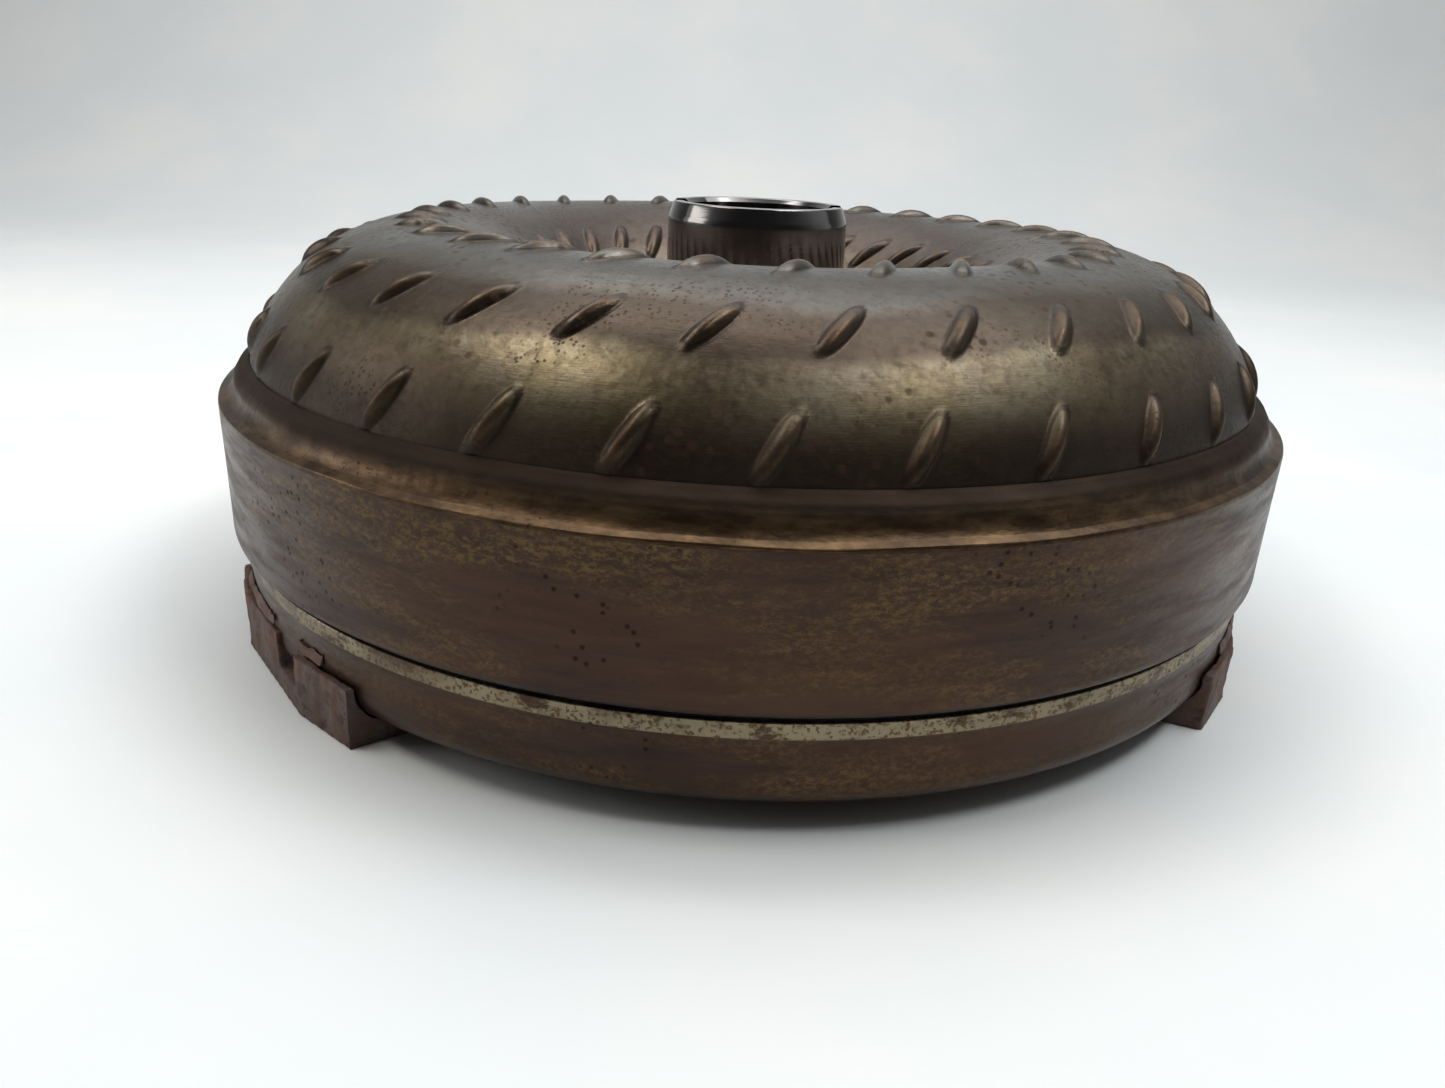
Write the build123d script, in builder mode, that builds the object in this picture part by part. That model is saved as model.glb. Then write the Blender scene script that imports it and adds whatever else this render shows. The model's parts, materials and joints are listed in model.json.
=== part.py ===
"""Automotive torque converter with a lock-up clutch, as its separate pieces.

Millimetres. The origin is on the turning axis, in the plane of the mounting lug faces, and +Z runs
along the axis from the engine side (lugs and pilot) to the gearbox side (pump hub).
"""

from build123d import *
from math import asin, cos, degrees, radians, sin
import os

os.makedirs("parts", exist_ok=True)

# ---------------------------------------------------------------- driving dimensions
DRUM_R = 129.0          # drum wall, outside
DRUM_LOW_Z = 27.7       # where the wall reaches its full radius
DRUM_TOP_Z = 55.5       # rim of the front cover
WALL_R = 126.2          # lower wall, under the machined band
BAND_R = 126.9          # machined locating band
BAND_Z = (20.6, 23.9)
COVER_T = 4.0           # front cover sheet
FACE_Z = 5.0            # outer ring of the cover face
FACE_CORNER_R = 6.0
CENTRE_Z = 9.0          # raised centre of the cover face
CENTRE_R = 69.0
RAMP = 7.0              # radial run of the step between ring and centre

TORUS_R = 82.4          # centre of the fluid circuit's section
TORUS_Z = 52.1
SHELL_R = 40.8          # outside radius of the impeller shell's section
SHELL_T = 3.0
SKIRT_LOW_Z = 44.0
FLANGE_Z = 71.0         # floor of the recess round the pump hub
FLANGE_T = 3.5

BLADES = 31             # impeller blades, each with four tabs that emboss the shell
TAB_LENGTH = 12.6
TAB_WIDTH = 4.4
TAB_HEIGHT = 1.4
TAB_SUNK = 1.3
# each row of tab bumps: tilt from the crown, angle about Z of one bump, slant to the meridian
TAB_ROWS = ((65.0, -87.47, 31.0), (34.0, -81.82, 38.0), (0.0, -84.81, 33.0), (-40.0, -86.0, 31.0))

HUB_R = 22.6            # pump hub, runs in the gearbox front seal and bush
HUB_BORE_R = 18.0
HUB_TOP_Z = 98.7
HUB_FOOT_R = 31.0
HUB_FOOT_T = 3.5
NOTCH_W = 8.0           # pump drive notches
NOTCH_DEPTH = 9.0
NOTCH_ANGLE = 0.0

PILOT_R = 17.0
PILOT_LOW_Z = 1.0
SPIGOT_R = 12.0

LUG_COUNT = 3
LUG_ANGLE = -21.6       # about Z, of the first lug
LUG_HOLE_CENTRE_R = 120.0
LUG_HOLE_R = 4.25       # tapped M10
LUG_HOLE_DEPTH = 11.5
LUG_BOSS_R = 7.5
LUG_TOP_Z = 13.2
LUG_HALF_W = 37.0
LUG_INNER_R = 103.0
LUG_FACE_X = 127.6      # flat outer face, from the axis
LUG_FACE_HALF_W = 18.5
LUG_CORNER_X = 123.4
LUG_WINDOW = (5.5, 15.5, 5.2)       # one side, other side, sill height
POCKET_WALL = 3.5

CORE_R = 16.0           # core ring section
CORE_T = 1.2
BLADE_T = 1.2
GAP = 0.1               # between a blade's edge and the shell it is brazed to

TURBINE_R = 81.5        # turbine shell section, an ellipse
TURBINE_SEMI = (37.5, 26.0)
TURBINE_T = 1.8
TURBINE_TOP_Z = 51.3
TURBINE_FLANGE_R = 58.0
TURBINE_BLADES = 29

RUNNING = 0.05          # radial clearance of a running fit


def polar(radius, angle):
    """The point at a radius and an angle in degrees."""
    return (radius * cos(radians(angle)), radius * sin(radians(angle)))


def section_point(radius, z):
    """Half the height of a circle of that radius about the torus centre, as an angle in degrees."""
    return degrees(asin((z - TORUS_Z) / radius))


def ellipse_low(radius, inset=0.0):
    """Height of the lower half of the turbine shell's section at a distance from the axis."""
    across, down = TURBINE_SEMI[0] - inset, TURBINE_SEMI[1] - inset
    return TORUS_Z - down * (1 - ((radius - TURBINE_R) / across) ** 2) ** 0.5


def ring_sector(inner_r, outer_r, sweep):
    """A sketch of the part of a flat ring between angle 0 and the sweep, in degrees."""
    with BuildSketch(mode=Mode.PRIVATE) as sector:
        with BuildLine():
            outside = CenterArc((0, 0), outer_r, 0, sweep)
            inside = CenterArc((0, 0), inner_r, 0, sweep)
            Line(inside @ 0, outside @ 0)
            Line(inside @ 1, outside @ 1)
        make_face()
    return sector.sketch


def write(builder, label):
    """Labels a finished piece and writes its file."""
    builder.part.label = label
    export_step(builder.part, f"parts/{label}.step")


# ---------------------------------------------------------------- front cover
STEP_R = DRUM_R - WALL_R
INNER_WALL_R = WALL_R - COVER_T
RIM_INNER_R = TORUS_R + SHELL_R
FACE_FLAT_R = WALL_R - FACE_CORNER_R
INNER_CORNER_R = 4.0

with BuildPart() as front_cover:
    with BuildSketch(Plane.XZ):
        with BuildLine():
            Polyline(
                (FACE_FLAT_R, FACE_Z), (CENTRE_R + RAMP, FACE_Z), (CENTRE_R, CENTRE_Z),
                (SPIGOT_R, CENTRE_Z), (SPIGOT_R, CENTRE_Z + COVER_T),
                (CENTRE_R + 2, CENTRE_Z + COVER_T), (CENTRE_R + RAMP + 2, FACE_Z + COVER_T),
                (INNER_WALL_R - INNER_CORNER_R, FACE_Z + COVER_T),
            )
            CenterArc(
                (INNER_WALL_R - INNER_CORNER_R, FACE_Z + COVER_T + INNER_CORNER_R),
                INNER_CORNER_R, -90, 90,
            )
            Polyline(
                (INNER_WALL_R, FACE_Z + COVER_T + INNER_CORNER_R), (INNER_WALL_R, DRUM_LOW_Z),
                (RIM_INNER_R, DRUM_LOW_Z + 3), (RIM_INNER_R, DRUM_TOP_Z), (DRUM_R, DRUM_TOP_Z),
                (DRUM_R, DRUM_LOW_Z),
            )
            CenterArc((WALL_R, DRUM_LOW_Z), STEP_R, 0, -90)
            Polyline(
                (WALL_R, DRUM_LOW_Z - STEP_R), (WALL_R, BAND_Z[1]), (BAND_R, BAND_Z[1]),
                (BAND_R, BAND_Z[0]), (WALL_R, BAND_Z[0]), (WALL_R, FACE_Z + FACE_CORNER_R),
            )
            CenterArc((FACE_FLAT_R, FACE_Z + FACE_CORNER_R), FACE_CORNER_R, 0, -90)
        make_face()
    revolve(axis=Axis.Z)
    # a pressed pocket takes each lug's threaded boss
    with BuildSketch(Plane.XY.offset(FACE_Z + COVER_T / 2)):
        with PolarLocations(LUG_HOLE_CENTRE_R, LUG_COUNT, start_angle=LUG_ANGLE):
            Circle(LUG_BOSS_R + POCKET_WALL)
        Circle(INNER_WALL_R + COVER_T / 2, mode=Mode.INTERSECT)
    extrude(amount=LUG_TOP_Z + POCKET_WALL - FACE_Z - COVER_T / 2)
    with BuildSketch(Plane.XY):
        with PolarLocations(LUG_HOLE_CENTRE_R, LUG_COUNT, start_angle=LUG_ANGLE):
            Circle(LUG_BOSS_R)
    extrude(amount=LUG_TOP_Z, mode=Mode.SUBTRACT)
write(front_cover, "front_cover")

# ---------------------------------------------------------------- pilot boss, in the crankshaft's bore
with BuildPart() as pilot_boss:
    with BuildSketch(Plane.XY.offset(PILOT_LOW_Z)):
        Circle(PILOT_R)
    extrude(amount=CENTRE_Z - PILOT_LOW_Z)
    chamfer(pilot_boss.edges().group_by(Axis.Z)[0], length=1.0)
    with BuildSketch(Plane.XY.offset(CENTRE_Z)):
        Circle(SPIGOT_R)
    extrude(amount=COVER_T)
write(pilot_boss, "pilot_boss")

# ---------------------------------------------------------------- mounting lugs and their welds
# what the cover fills, for the lugs to fit round
with BuildPart() as cover_outside:
    with BuildSketch(Plane.XZ):
        with BuildLine():
            Polyline(
                (FACE_FLAT_R, FACE_Z), (0, FACE_Z), (0, DRUM_LOW_Z), (WALL_R, DRUM_LOW_Z),
                (WALL_R, FACE_Z + FACE_CORNER_R),
            )
            CenterArc((FACE_FLAT_R, FACE_Z + FACE_CORNER_R), FACE_CORNER_R, 0, -90)
        make_face()
    revolve(axis=Axis.Z)

with BuildPart() as lug:
    with BuildSketch(Plane.XY):
        with BuildLine():
            Polyline(
                (LUG_INNER_R, -LUG_HALF_W), (LUG_CORNER_X, -LUG_HALF_W), (LUG_FACE_X, -LUG_FACE_HALF_W),
                (LUG_FACE_X, LUG_FACE_HALF_W), (LUG_CORNER_X, LUG_HALF_W), (LUG_INNER_R, LUG_HALF_W),
                close=True,
            )
        make_face()
    extrude(amount=LUG_TOP_Z)
    add(cover_outside.part, mode=Mode.SUBTRACT)
    # a window in the outer face, beside the threaded boss
    with BuildSketch(Plane.XY.offset(LUG_WINDOW[2])):
        with Locations((LUG_FACE_X, (LUG_WINDOW[0] + LUG_WINDOW[1]) / 2)):
            Rectangle(2 * (LUG_FACE_X - LUG_HOLE_CENTRE_R), LUG_WINDOW[1] - LUG_WINDOW[0])
    extrude(amount=LUG_TOP_Z, mode=Mode.SUBTRACT)
    with BuildSketch(Plane.XY):
        with Locations((LUG_HOLE_CENTRE_R, 0)):
            Circle(LUG_BOSS_R)
    extrude(amount=LUG_TOP_Z)
    with BuildSketch(Plane.XY):
        with Locations((LUG_HOLE_CENTRE_R, 0)):
            Circle(LUG_HOLE_R)
    extrude(amount=LUG_HOLE_DEPTH, mode=Mode.SUBTRACT)

for number in range(LUG_COUNT):
    with BuildPart() as mounting_lug:
        add(lug.part, rotation=(0, 0, LUG_ANGLE + number * 360 / LUG_COUNT))
    write(mounting_lug, f"mounting_lug_{number + 1}")

LUG_BEAD = 3.0
SIDE_BEAD_LENGTH = 9.0
TOP_BEAD_R = 127.9
TOP_BEAD_Z = 17.0
TOP_BEADS = ((-12.0, 1.5), (7.6, 12.0))     # start and end of each, degrees from the lug's middle

with BuildPart() as lug_beads:
    with BuildSketch(Plane.YZ.offset(LUG_INNER_R)):
        with BuildLine():
            Polyline(
                (LUG_HALF_W, FACE_Z), (LUG_HALF_W + LUG_BEAD, FACE_Z), (LUG_HALF_W, FACE_Z - LUG_BEAD),
                close=True,
            )
        make_face()
        mirror(about=Plane.YZ)
    extrude(amount=SIDE_BEAD_LENGTH)
    for start, end in TOP_BEADS:
        with BuildPart(mode=Mode.PRIVATE) as top_bead:
            with BuildSketch(Plane.XZ):
                with BuildLine():
                    Polyline((WALL_R, LUG_TOP_Z), (TOP_BEAD_R, LUG_TOP_Z), (WALL_R, TOP_BEAD_Z), close=True)
                make_face()
            revolve(axis=Axis.Z, revolution_arc=end - start)
        add(top_bead.part, rotation=(0, 0, start))
with BuildPart() as lug_welds:
    for number in range(LUG_COUNT):
        add(lug_beads.part, rotation=(0, 0, LUG_ANGLE + number * 360 / LUG_COUNT))
write(lug_welds, "lug_welds")

# ---------------------------------------------------------------- impeller shell
SHELL_INNER_R = SHELL_R - SHELL_T
SLOPE_END_Z = FLANGE_Z + 4.0
outer_end = 180 - section_point(SHELL_R, SLOPE_END_Z)
inner_end = 180 - section_point(SHELL_INNER_R, FLANGE_Z - FLANGE_T)
slope_foot = (TORUS_R + SHELL_R * cos(radians(outer_end)) - 2.7, FLANGE_Z)


def tab_plane(tilt, angle, slant):
    """The plane of a tab bump, sunk into the shell: z out of the shell, x along the bump."""
    radial, along = polar(1, angle), polar(1, angle + 90)
    normal = Vector(radial[0] * sin(radians(tilt)), radial[1] * sin(radians(tilt)), cos(radians(tilt)))
    inward = Vector(-radial[0] * cos(radians(tilt)), -radial[1] * cos(radians(tilt)), sin(radians(tilt)))
    centre = Vector(radial[0] * TORUS_R, radial[1] * TORUS_R, TORUS_Z) + normal * (SHELL_R - TAB_SUNK)
    lengthwise = inward * cos(radians(slant)) + Vector(along[0], along[1], 0) * sin(radians(slant))
    return Plane(origin=centre, x_dir=lengthwise, z_dir=normal)


tab_planes = [
    tab_plane(tilt, angle + blade * 360 / BLADES, slant)
    for tilt, angle, slant in TAB_ROWS
    for blade in range(BLADES)
]

with BuildPart() as impeller_shell:
    with BuildSketch(Plane.XZ) as shell_section:
        with BuildLine():
            Polyline((TORUS_R + SHELL_INNER_R, TORUS_Z), (TORUS_R + SHELL_INNER_R, SKIRT_LOW_Z),
                     (TORUS_R + SHELL_R, SKIRT_LOW_Z), (TORUS_R + SHELL_R, TORUS_Z))
            rim_to_slope = CenterArc((TORUS_R, TORUS_Z), SHELL_R, 0, outer_end)
            Polyline(rim_to_slope @ 1, slope_foot, (HUB_R, FLANGE_Z), (HUB_R, FLANGE_Z - FLANGE_T),
                     (TORUS_R + SHELL_INNER_R * cos(radians(inner_end)), FLANGE_Z - FLANGE_T))
            CenterArc((TORUS_R, TORUS_Z), SHELL_INNER_R, inner_end, -inner_end)
        make_face()
        fillet(shell_section.vertices().sort_by_distance((slope_foot[0], 0, FLANGE_Z))[0], radius=4)
    revolve(axis=Axis.Z)
    with BuildSketch(*tab_planes):
        SlotOverall(TAB_LENGTH, TAB_WIDTH)
    extrude(amount=TAB_SUNK + TAB_HEIGHT, taper=16)
write(impeller_shell, "impeller_shell")

# ---------------------------------------------------------------- closing weld, cover to impeller shell
WELD_TOP_Z = 63.0
weld_top = section_point(SHELL_R, WELD_TOP_Z)
weld_foot = section_point(SHELL_R, DRUM_TOP_Z)
with BuildPart() as closing_weld:
    with BuildSketch(Plane.XZ):
        with BuildLine():
            inside = CenterArc((TORUS_R, TORUS_Z), SHELL_R, weld_foot, weld_top - weld_foot)
            Line(inside @ 0, (DRUM_R, DRUM_TOP_Z))
            ThreePointArc((DRUM_R, DRUM_TOP_Z), (127.2, 57.6), (125.2, 60.6))
            ThreePointArc((125.2, 60.6), (123.6, 62.3), inside @ 1)
        make_face()
    revolve(axis=Axis.Z)
write(closing_weld, "closing_weld")

# ---------------------------------------------------------------- pump hub
CHAMFER_Z = 95.2
HUB_LOW_Z = FLANGE_Z - FLANGE_T
with BuildPart() as pump_hub:
    with BuildSketch(Plane.XZ):
        with BuildLine():
            Polyline(
                (HUB_BORE_R, HUB_LOW_Z), (HUB_R, HUB_LOW_Z), (HUB_R, FLANGE_Z), (HUB_FOOT_R, FLANGE_Z),
                (HUB_FOOT_R, FLANGE_Z + HUB_FOOT_T), (HUB_R, FLANGE_Z + HUB_FOOT_T), (HUB_R, CHAMFER_Z),
                (HUB_R - 1.3, HUB_TOP_Z), (HUB_BORE_R + 1, HUB_TOP_Z), (HUB_BORE_R, HUB_TOP_Z - 1),
                close=True,
            )
        make_face()
    revolve(axis=Axis.Z)
    with BuildSketch(Plane.XY.offset(HUB_TOP_Z)):
        Rectangle(2 * HUB_R + 4, NOTCH_W, rotation=NOTCH_ANGLE)
    extrude(amount=-NOTCH_DEPTH, mode=Mode.SUBTRACT)
write(pump_hub, "pump_hub")

HUB_BEAD = 3.0
with BuildPart() as hub_weld:
    with BuildSketch(Plane.XZ):
        with BuildLine():
            Line((HUB_FOOT_R, FLANGE_Z + HUB_BEAD), (HUB_FOOT_R, FLANGE_Z))
            Line((HUB_FOOT_R, FLANGE_Z), (HUB_FOOT_R + HUB_BEAD, FLANGE_Z))
            ThreePointArc(
                (HUB_FOOT_R + HUB_BEAD, FLANGE_Z),
                (HUB_FOOT_R + HUB_BEAD * 0.62, FLANGE_Z + HUB_BEAD * 0.62),
                (HUB_FOOT_R, FLANGE_Z + HUB_BEAD),
            )
        make_face()
    revolve(axis=Axis.Z)
write(hub_weld, "hub_weld")

# ---------------------------------------------------------------- impeller blades and core ring
CORE_SPLIT = 0.8        # the two core rings stand this far from the middle plane
STATOR_ROOM_R = 68.0
STATOR_ROOM_Z = 66.0

with BuildPart() as impeller_passage:
    with BuildSketch(Plane.XZ):
        with Locations((TORUS_R, TORUS_Z)):
            Circle(SHELL_INNER_R - GAP)
            Circle(CORE_R, mode=Mode.SUBTRACT)
        with Locations((TORUS_R, TORUS_Z + CORE_SPLIT)):
            Rectangle(3 * SHELL_R, 2 * SHELL_R, align=(Align.CENTER, Align.MAX), mode=Mode.SUBTRACT)
        Rectangle(STATOR_ROOM_R, STATOR_ROOM_Z, align=(Align.MIN, Align.MIN), mode=Mode.SUBTRACT)
    revolve(axis=Axis.Z)

with BuildPart() as impeller_blade:
    with BuildSketch(Plane.XY.offset(TORUS_Z)) as blade_line:
        with BuildLine():
            ThreePointArc(polar(124, -88.0), polar(84, -74.0), polar(44, -52.0))
        trace(line_width=BLADE_T)
    extrude(amount=SHELL_R)
    add(impeller_passage.part, mode=Mode.INTERSECT)
with BuildPart() as impeller_blades:
    with PolarLocations(0, BLADES):
        add(impeller_blade.part)
write(impeller_blades, "impeller_blades")

with BuildPart() as impeller_core_ring:
    with BuildSketch(Plane.XZ):
        with Locations((TORUS_R, TORUS_Z)):
            Circle(CORE_R)
            Circle(CORE_R - CORE_T, mode=Mode.SUBTRACT)
        with Locations((TORUS_R, TORUS_Z + CORE_SPLIT)):
            Rectangle(3 * CORE_R, 3 * CORE_R, align=(Align.CENTER, Align.MAX), mode=Mode.SUBTRACT)
    revolve(axis=Axis.Z)
write(impeller_core_ring, "impeller_core_ring")

# ---------------------------------------------------------------- turbine
TURBINE_LIP_R = TURBINE_R + TURBINE_SEMI[0] * 0.999
flange_low_z = ellipse_low(TURBINE_FLANGE_R)
TURBINE_BORE_R = 36.0
RIVETS = 12
RIVET_PCR = 45.0
RIVET_R = 2.5

with BuildPart() as turbine_shell:
    with BuildSketch(Plane.XZ):
        with Locations((TURBINE_R, TORUS_Z)):
            Ellipse(*TURBINE_SEMI)
            Ellipse(TURBINE_SEMI[0] - TURBINE_T, TURBINE_SEMI[1] - TURBINE_T, mode=Mode.SUBTRACT)
        with Locations((0, TURBINE_TOP_Z)):
            Rectangle(2 * DRUM_R, DRUM_R, align=(Align.MIN, Align.MIN), mode=Mode.SUBTRACT)
        Rectangle(TURBINE_FLANGE_R, DRUM_R, align=(Align.MIN, Align.MIN), mode=Mode.SUBTRACT)
        with Locations((TURBINE_BORE_R, flange_low_z)):
            Rectangle(TURBINE_FLANGE_R - TURBINE_BORE_R + 1.5, TURBINE_T, align=(Align.MIN, Align.MIN))
    revolve(axis=Axis.Z)
    with BuildSketch(Plane.XY.offset(flange_low_z)):
        with PolarLocations(RIVET_PCR, RIVETS):
            Circle(RIVET_R)
    extrude(amount=TURBINE_T, mode=Mode.SUBTRACT)
write(turbine_shell, "turbine_shell")

TURBINE_BLADE_INNER_R = 66.0
with BuildPart() as turbine_passage:
    with BuildSketch(Plane.XZ):
        with Locations((TURBINE_R, TORUS_Z)):
            Ellipse(TURBINE_SEMI[0] - TURBINE_T - GAP, TURBINE_SEMI[1] - TURBINE_T - GAP)
        with Locations((TORUS_R, TORUS_Z)):
            Circle(CORE_R, mode=Mode.SUBTRACT)
        with Locations((0, TURBINE_TOP_Z)):
            Rectangle(2 * DRUM_R, DRUM_R, align=(Align.MIN, Align.MIN), mode=Mode.SUBTRACT)
        Rectangle(TURBINE_BLADE_INNER_R, DRUM_R, align=(Align.MIN, Align.MIN), mode=Mode.SUBTRACT)
    revolve(axis=Axis.Z)

with BuildPart() as turbine_blade:
    with BuildSketch(Plane.XY.offset(TORUS_Z - TURBINE_SEMI[1])):
        with BuildLine():
            ThreePointArc(polar(122, 0), polar(94, -14), polar(62, -20))
        trace(line_width=BLADE_T)
    extrude(amount=TURBINE_SEMI[1])
    add(turbine_passage.part, mode=Mode.INTERSECT)
with BuildPart() as turbine_blades:
    with PolarLocations(0, TURBINE_BLADES):
        add(turbine_blade.part)
write(turbine_blades, "turbine_blades")

with BuildPart() as turbine_core_ring:
    with BuildSketch(Plane.XZ):
        with Locations((TORUS_R, TORUS_Z)):
            Circle(CORE_R)
            Circle(CORE_R - CORE_T, mode=Mode.SUBTRACT)
        with Locations((TORUS_R, TURBINE_TOP_Z)):
            Rectangle(3 * CORE_R, 3 * CORE_R, align=(Align.CENTER, Align.MIN), mode=Mode.SUBTRACT)
    revolve(axis=Axis.Z)
write(turbine_core_ring, "turbine_core_ring")

NOSE_R = 24.0           # carries the lock-up piston
NOSE_LOW_Z = 15.8
HUB_FLANGE_R = 54.0
HUB_FLANGE_Z = (flange_low_z - 2.0, flange_low_z)
BOSS_R = 35.5
BOSS_TOP_Z = 37.3
SHAFT_SPLINE_R = (12.6, 13.7)
SHAFT_TEETH = 24
SEAL_GROOVE = (21.5, 19.0, 2.0)     # bottom radius, low side, width

with BuildPart() as turbine_hub:
    with BuildSketch(Plane.XZ):
        with BuildLine():
            Polyline(
                (SHAFT_SPLINE_R[0], NOSE_LOW_Z), (NOSE_R, NOSE_LOW_Z), (NOSE_R, SEAL_GROOVE[1]),
                (SEAL_GROOVE[0], SEAL_GROOVE[1]), (SEAL_GROOVE[0], SEAL_GROOVE[1] + SEAL_GROOVE[2]),
                (NOSE_R, SEAL_GROOVE[1] + SEAL_GROOVE[2]), (NOSE_R, HUB_FLANGE_Z[0]),
                (HUB_FLANGE_R, HUB_FLANGE_Z[0]), (HUB_FLANGE_R, HUB_FLANGE_Z[1]),
                (BOSS_R, HUB_FLANGE_Z[1]), (BOSS_R, BOSS_TOP_Z), (SHAFT_SPLINE_R[0], BOSS_TOP_Z),
                close=True,
            )
        make_face()
    revolve(axis=Axis.Z)
    with BuildSketch(Plane.XY.offset(NOSE_LOW_Z)):
        with PolarLocations(SHAFT_SPLINE_R[0], SHAFT_TEETH):
            Rectangle(2 * (SHAFT_SPLINE_R[1] - SHAFT_SPLINE_R[0]), 1.7)
    extrude(amount=BOSS_TOP_Z - NOSE_LOW_Z, mode=Mode.SUBTRACT)
    with BuildSketch(Plane.XY.offset(HUB_FLANGE_Z[0])):
        with PolarLocations(RIVET_PCR, RIVETS):
            Circle(RIVET_R)
    extrude(amount=HUB_FLANGE_Z[1] - HUB_FLANGE_Z[0], mode=Mode.SUBTRACT)
write(turbine_hub, "turbine_hub")

with BuildPart() as piston_seal_ring:
    with BuildSketch(Plane.XY.offset(SEAL_GROOVE[1] + 0.1)):
        Circle(NOSE_R)
        Circle(SEAL_GROOVE[0] + 0.2, mode=Mode.SUBTRACT)
    extrude(amount=SEAL_GROOVE[2] - 0.2)
write(piston_seal_ring, "piston_seal_ring")

PLATE_T = 1.8
plate_high_z = HUB_FLANGE_Z[0] - PLATE_T
PLATE_LOW_Z = 20.4
RIVET_HEAD = (3.6, 1.6)             # radius, height

with BuildPart() as turbine_rivets:
    with BuildSketch(Plane.XY.offset(plate_high_z - RIVET_HEAD[1])):
        with PolarLocations(RIVET_PCR, RIVETS):
            Circle(RIVET_HEAD[0])
    extrude(amount=RIVET_HEAD[1])
    with BuildSketch(Plane.XY.offset(plate_high_z)):
        with PolarLocations(RIVET_PCR, RIVETS):
            Circle(RIVET_R)
    extrude(amount=flange_low_z + TURBINE_T - plate_high_z)
    with BuildSketch(Plane.XY.offset(flange_low_z + TURBINE_T)):
        with PolarLocations(RIVET_PCR, RIVETS):
            Circle(RIVET_HEAD[0])
    extrude(amount=RIVET_HEAD[1])
write(turbine_rivets, "turbine_rivets")

# ---------------------------------------------------------------- torsional damper of the lock-up clutch
SPRINGS = 8
SPRING_OFFSET = 92.0    # distance from the axis to a spring's own axis
SPRING_Z = 21.3
SPRING_LENGTH = 46.0
COIL_R = 3.5
WIRE_R = 1.3
COIL_TURNS = 9
ARM_SWEEP = 14.4        # degrees, of the arm between two springs
PLATE_FLAT_R = 53.0
PLATE_RING_R = (64.0, 85.4)
ARM_R = 99.0

with BuildPart() as damper_driven_plate:
    with BuildSketch(Plane.XZ):
        with BuildLine():
            Polyline(
                (28.0, plate_high_z), (PLATE_FLAT_R, plate_high_z), (PLATE_RING_R[0], PLATE_LOW_Z),
                (PLATE_RING_R[1], PLATE_LOW_Z), (PLATE_RING_R[1], PLATE_LOW_Z + PLATE_T),
                (PLATE_RING_R[0] + 1, PLATE_LOW_Z + PLATE_T), (PLATE_FLAT_R + 1, HUB_FLANGE_Z[0]),
                (28.0, HUB_FLANGE_Z[0]), close=True,
            )
        make_face()
    revolve(axis=Axis.Z)
    with BuildSketch(Plane.XY.offset(PLATE_LOW_Z)):
        with PolarLocations(0, SPRINGS, start_angle=(360 / SPRINGS - ARM_SWEEP) / 2):
            add(ring_sector(PLATE_RING_R[1] - 2, ARM_R, ARM_SWEEP))
    extrude(amount=PLATE_T)
    with BuildSketch(Plane.XY.offset(plate_high_z)):
        with PolarLocations(RIVET_PCR, RIVETS):
            Circle(RIVET_R)
    extrude(amount=PLATE_T, mode=Mode.SUBTRACT)
write(damper_driven_plate, "damper_driven_plate")

half_coil = SPRING_LENGTH / 2 - WIRE_R
with BuildPart() as spring_coil:
    with BuildLine() as coil:
        Helix(
            pitch=2 * half_coil / COIL_TURNS, height=2 * half_coil, radius=COIL_R,
            center=(SPRING_OFFSET, -half_coil, SPRING_Z), direction=(0, 1, 0),
        )
    with BuildSketch(Plane(origin=coil.line @ 0, z_dir=coil.line % 0)):
        Circle(WIRE_R)
    sweep(is_frenet=True)
with BuildPart() as damper_springs:
    with PolarLocations(0, SPRINGS):
        add(spring_coil.part)
write(damper_springs, "damper_springs")

CAGE_Z = (15.0, 16.2)
CAGE_R = (84.0, 102.0)
CAGE_WALL_R = 100.6
CAGE_LIP_R = 97.5
CAGE_TOP_Z = (25.5, 26.5)
STOP_TOP_Z = 19.6
STOP_R = (87.0, 101.0)
TANG_COUNT = 6
TANG_W = 12.0
TANG_R = 106.5

with BuildPart() as damper_spring_cage:
    with BuildSketch(Plane.XZ):
        with BuildLine():
            Polyline(
                (CAGE_R[0], CAGE_Z[0]), (CAGE_R[1], CAGE_Z[0]), (CAGE_R[1], CAGE_TOP_Z[1]),
                (CAGE_LIP_R, CAGE_TOP_Z[1]), (CAGE_LIP_R, CAGE_TOP_Z[0]), (CAGE_WALL_R, CAGE_TOP_Z[0]),
                (CAGE_WALL_R, CAGE_Z[1]), (CAGE_R[0], CAGE_Z[1]), close=True,
            )
        make_face()
    revolve(axis=Axis.Z)
    with BuildSketch(Plane.XY.offset(CAGE_Z[1])):
        with PolarLocations(0, SPRINGS, start_angle=(360 / SPRINGS - ARM_SWEEP) / 2):
            add(ring_sector(STOP_R[0], STOP_R[1], ARM_SWEEP))
    extrude(amount=STOP_TOP_Z - CAGE_Z[1])
    with BuildSketch(Plane.XY.offset(CAGE_Z[0])):
        with PolarLocations(CAGE_R[1] - 1, TANG_COUNT):
            Rectangle(TANG_R - CAGE_R[1] + 1, TANG_W, align=(Align.MIN, Align.CENTER))
    extrude(amount=CAGE_Z[1] - CAGE_Z[0])
write(damper_spring_cage, "damper_spring_cage")

# ---------------------------------------------------------------- lock-up piston and its lining
PISTON_R = 108.0
PISTON_T = 3.0
PISTON_FACE_Z = 11.6
PISTON_CENTRE_Z = 15.6
PISTON_STEP_R = (76.0, 84.0)
PISTON_RIM = (104.6, 20.0)
PISTON_SLEEVE = (27.5, 23.5)

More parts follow.
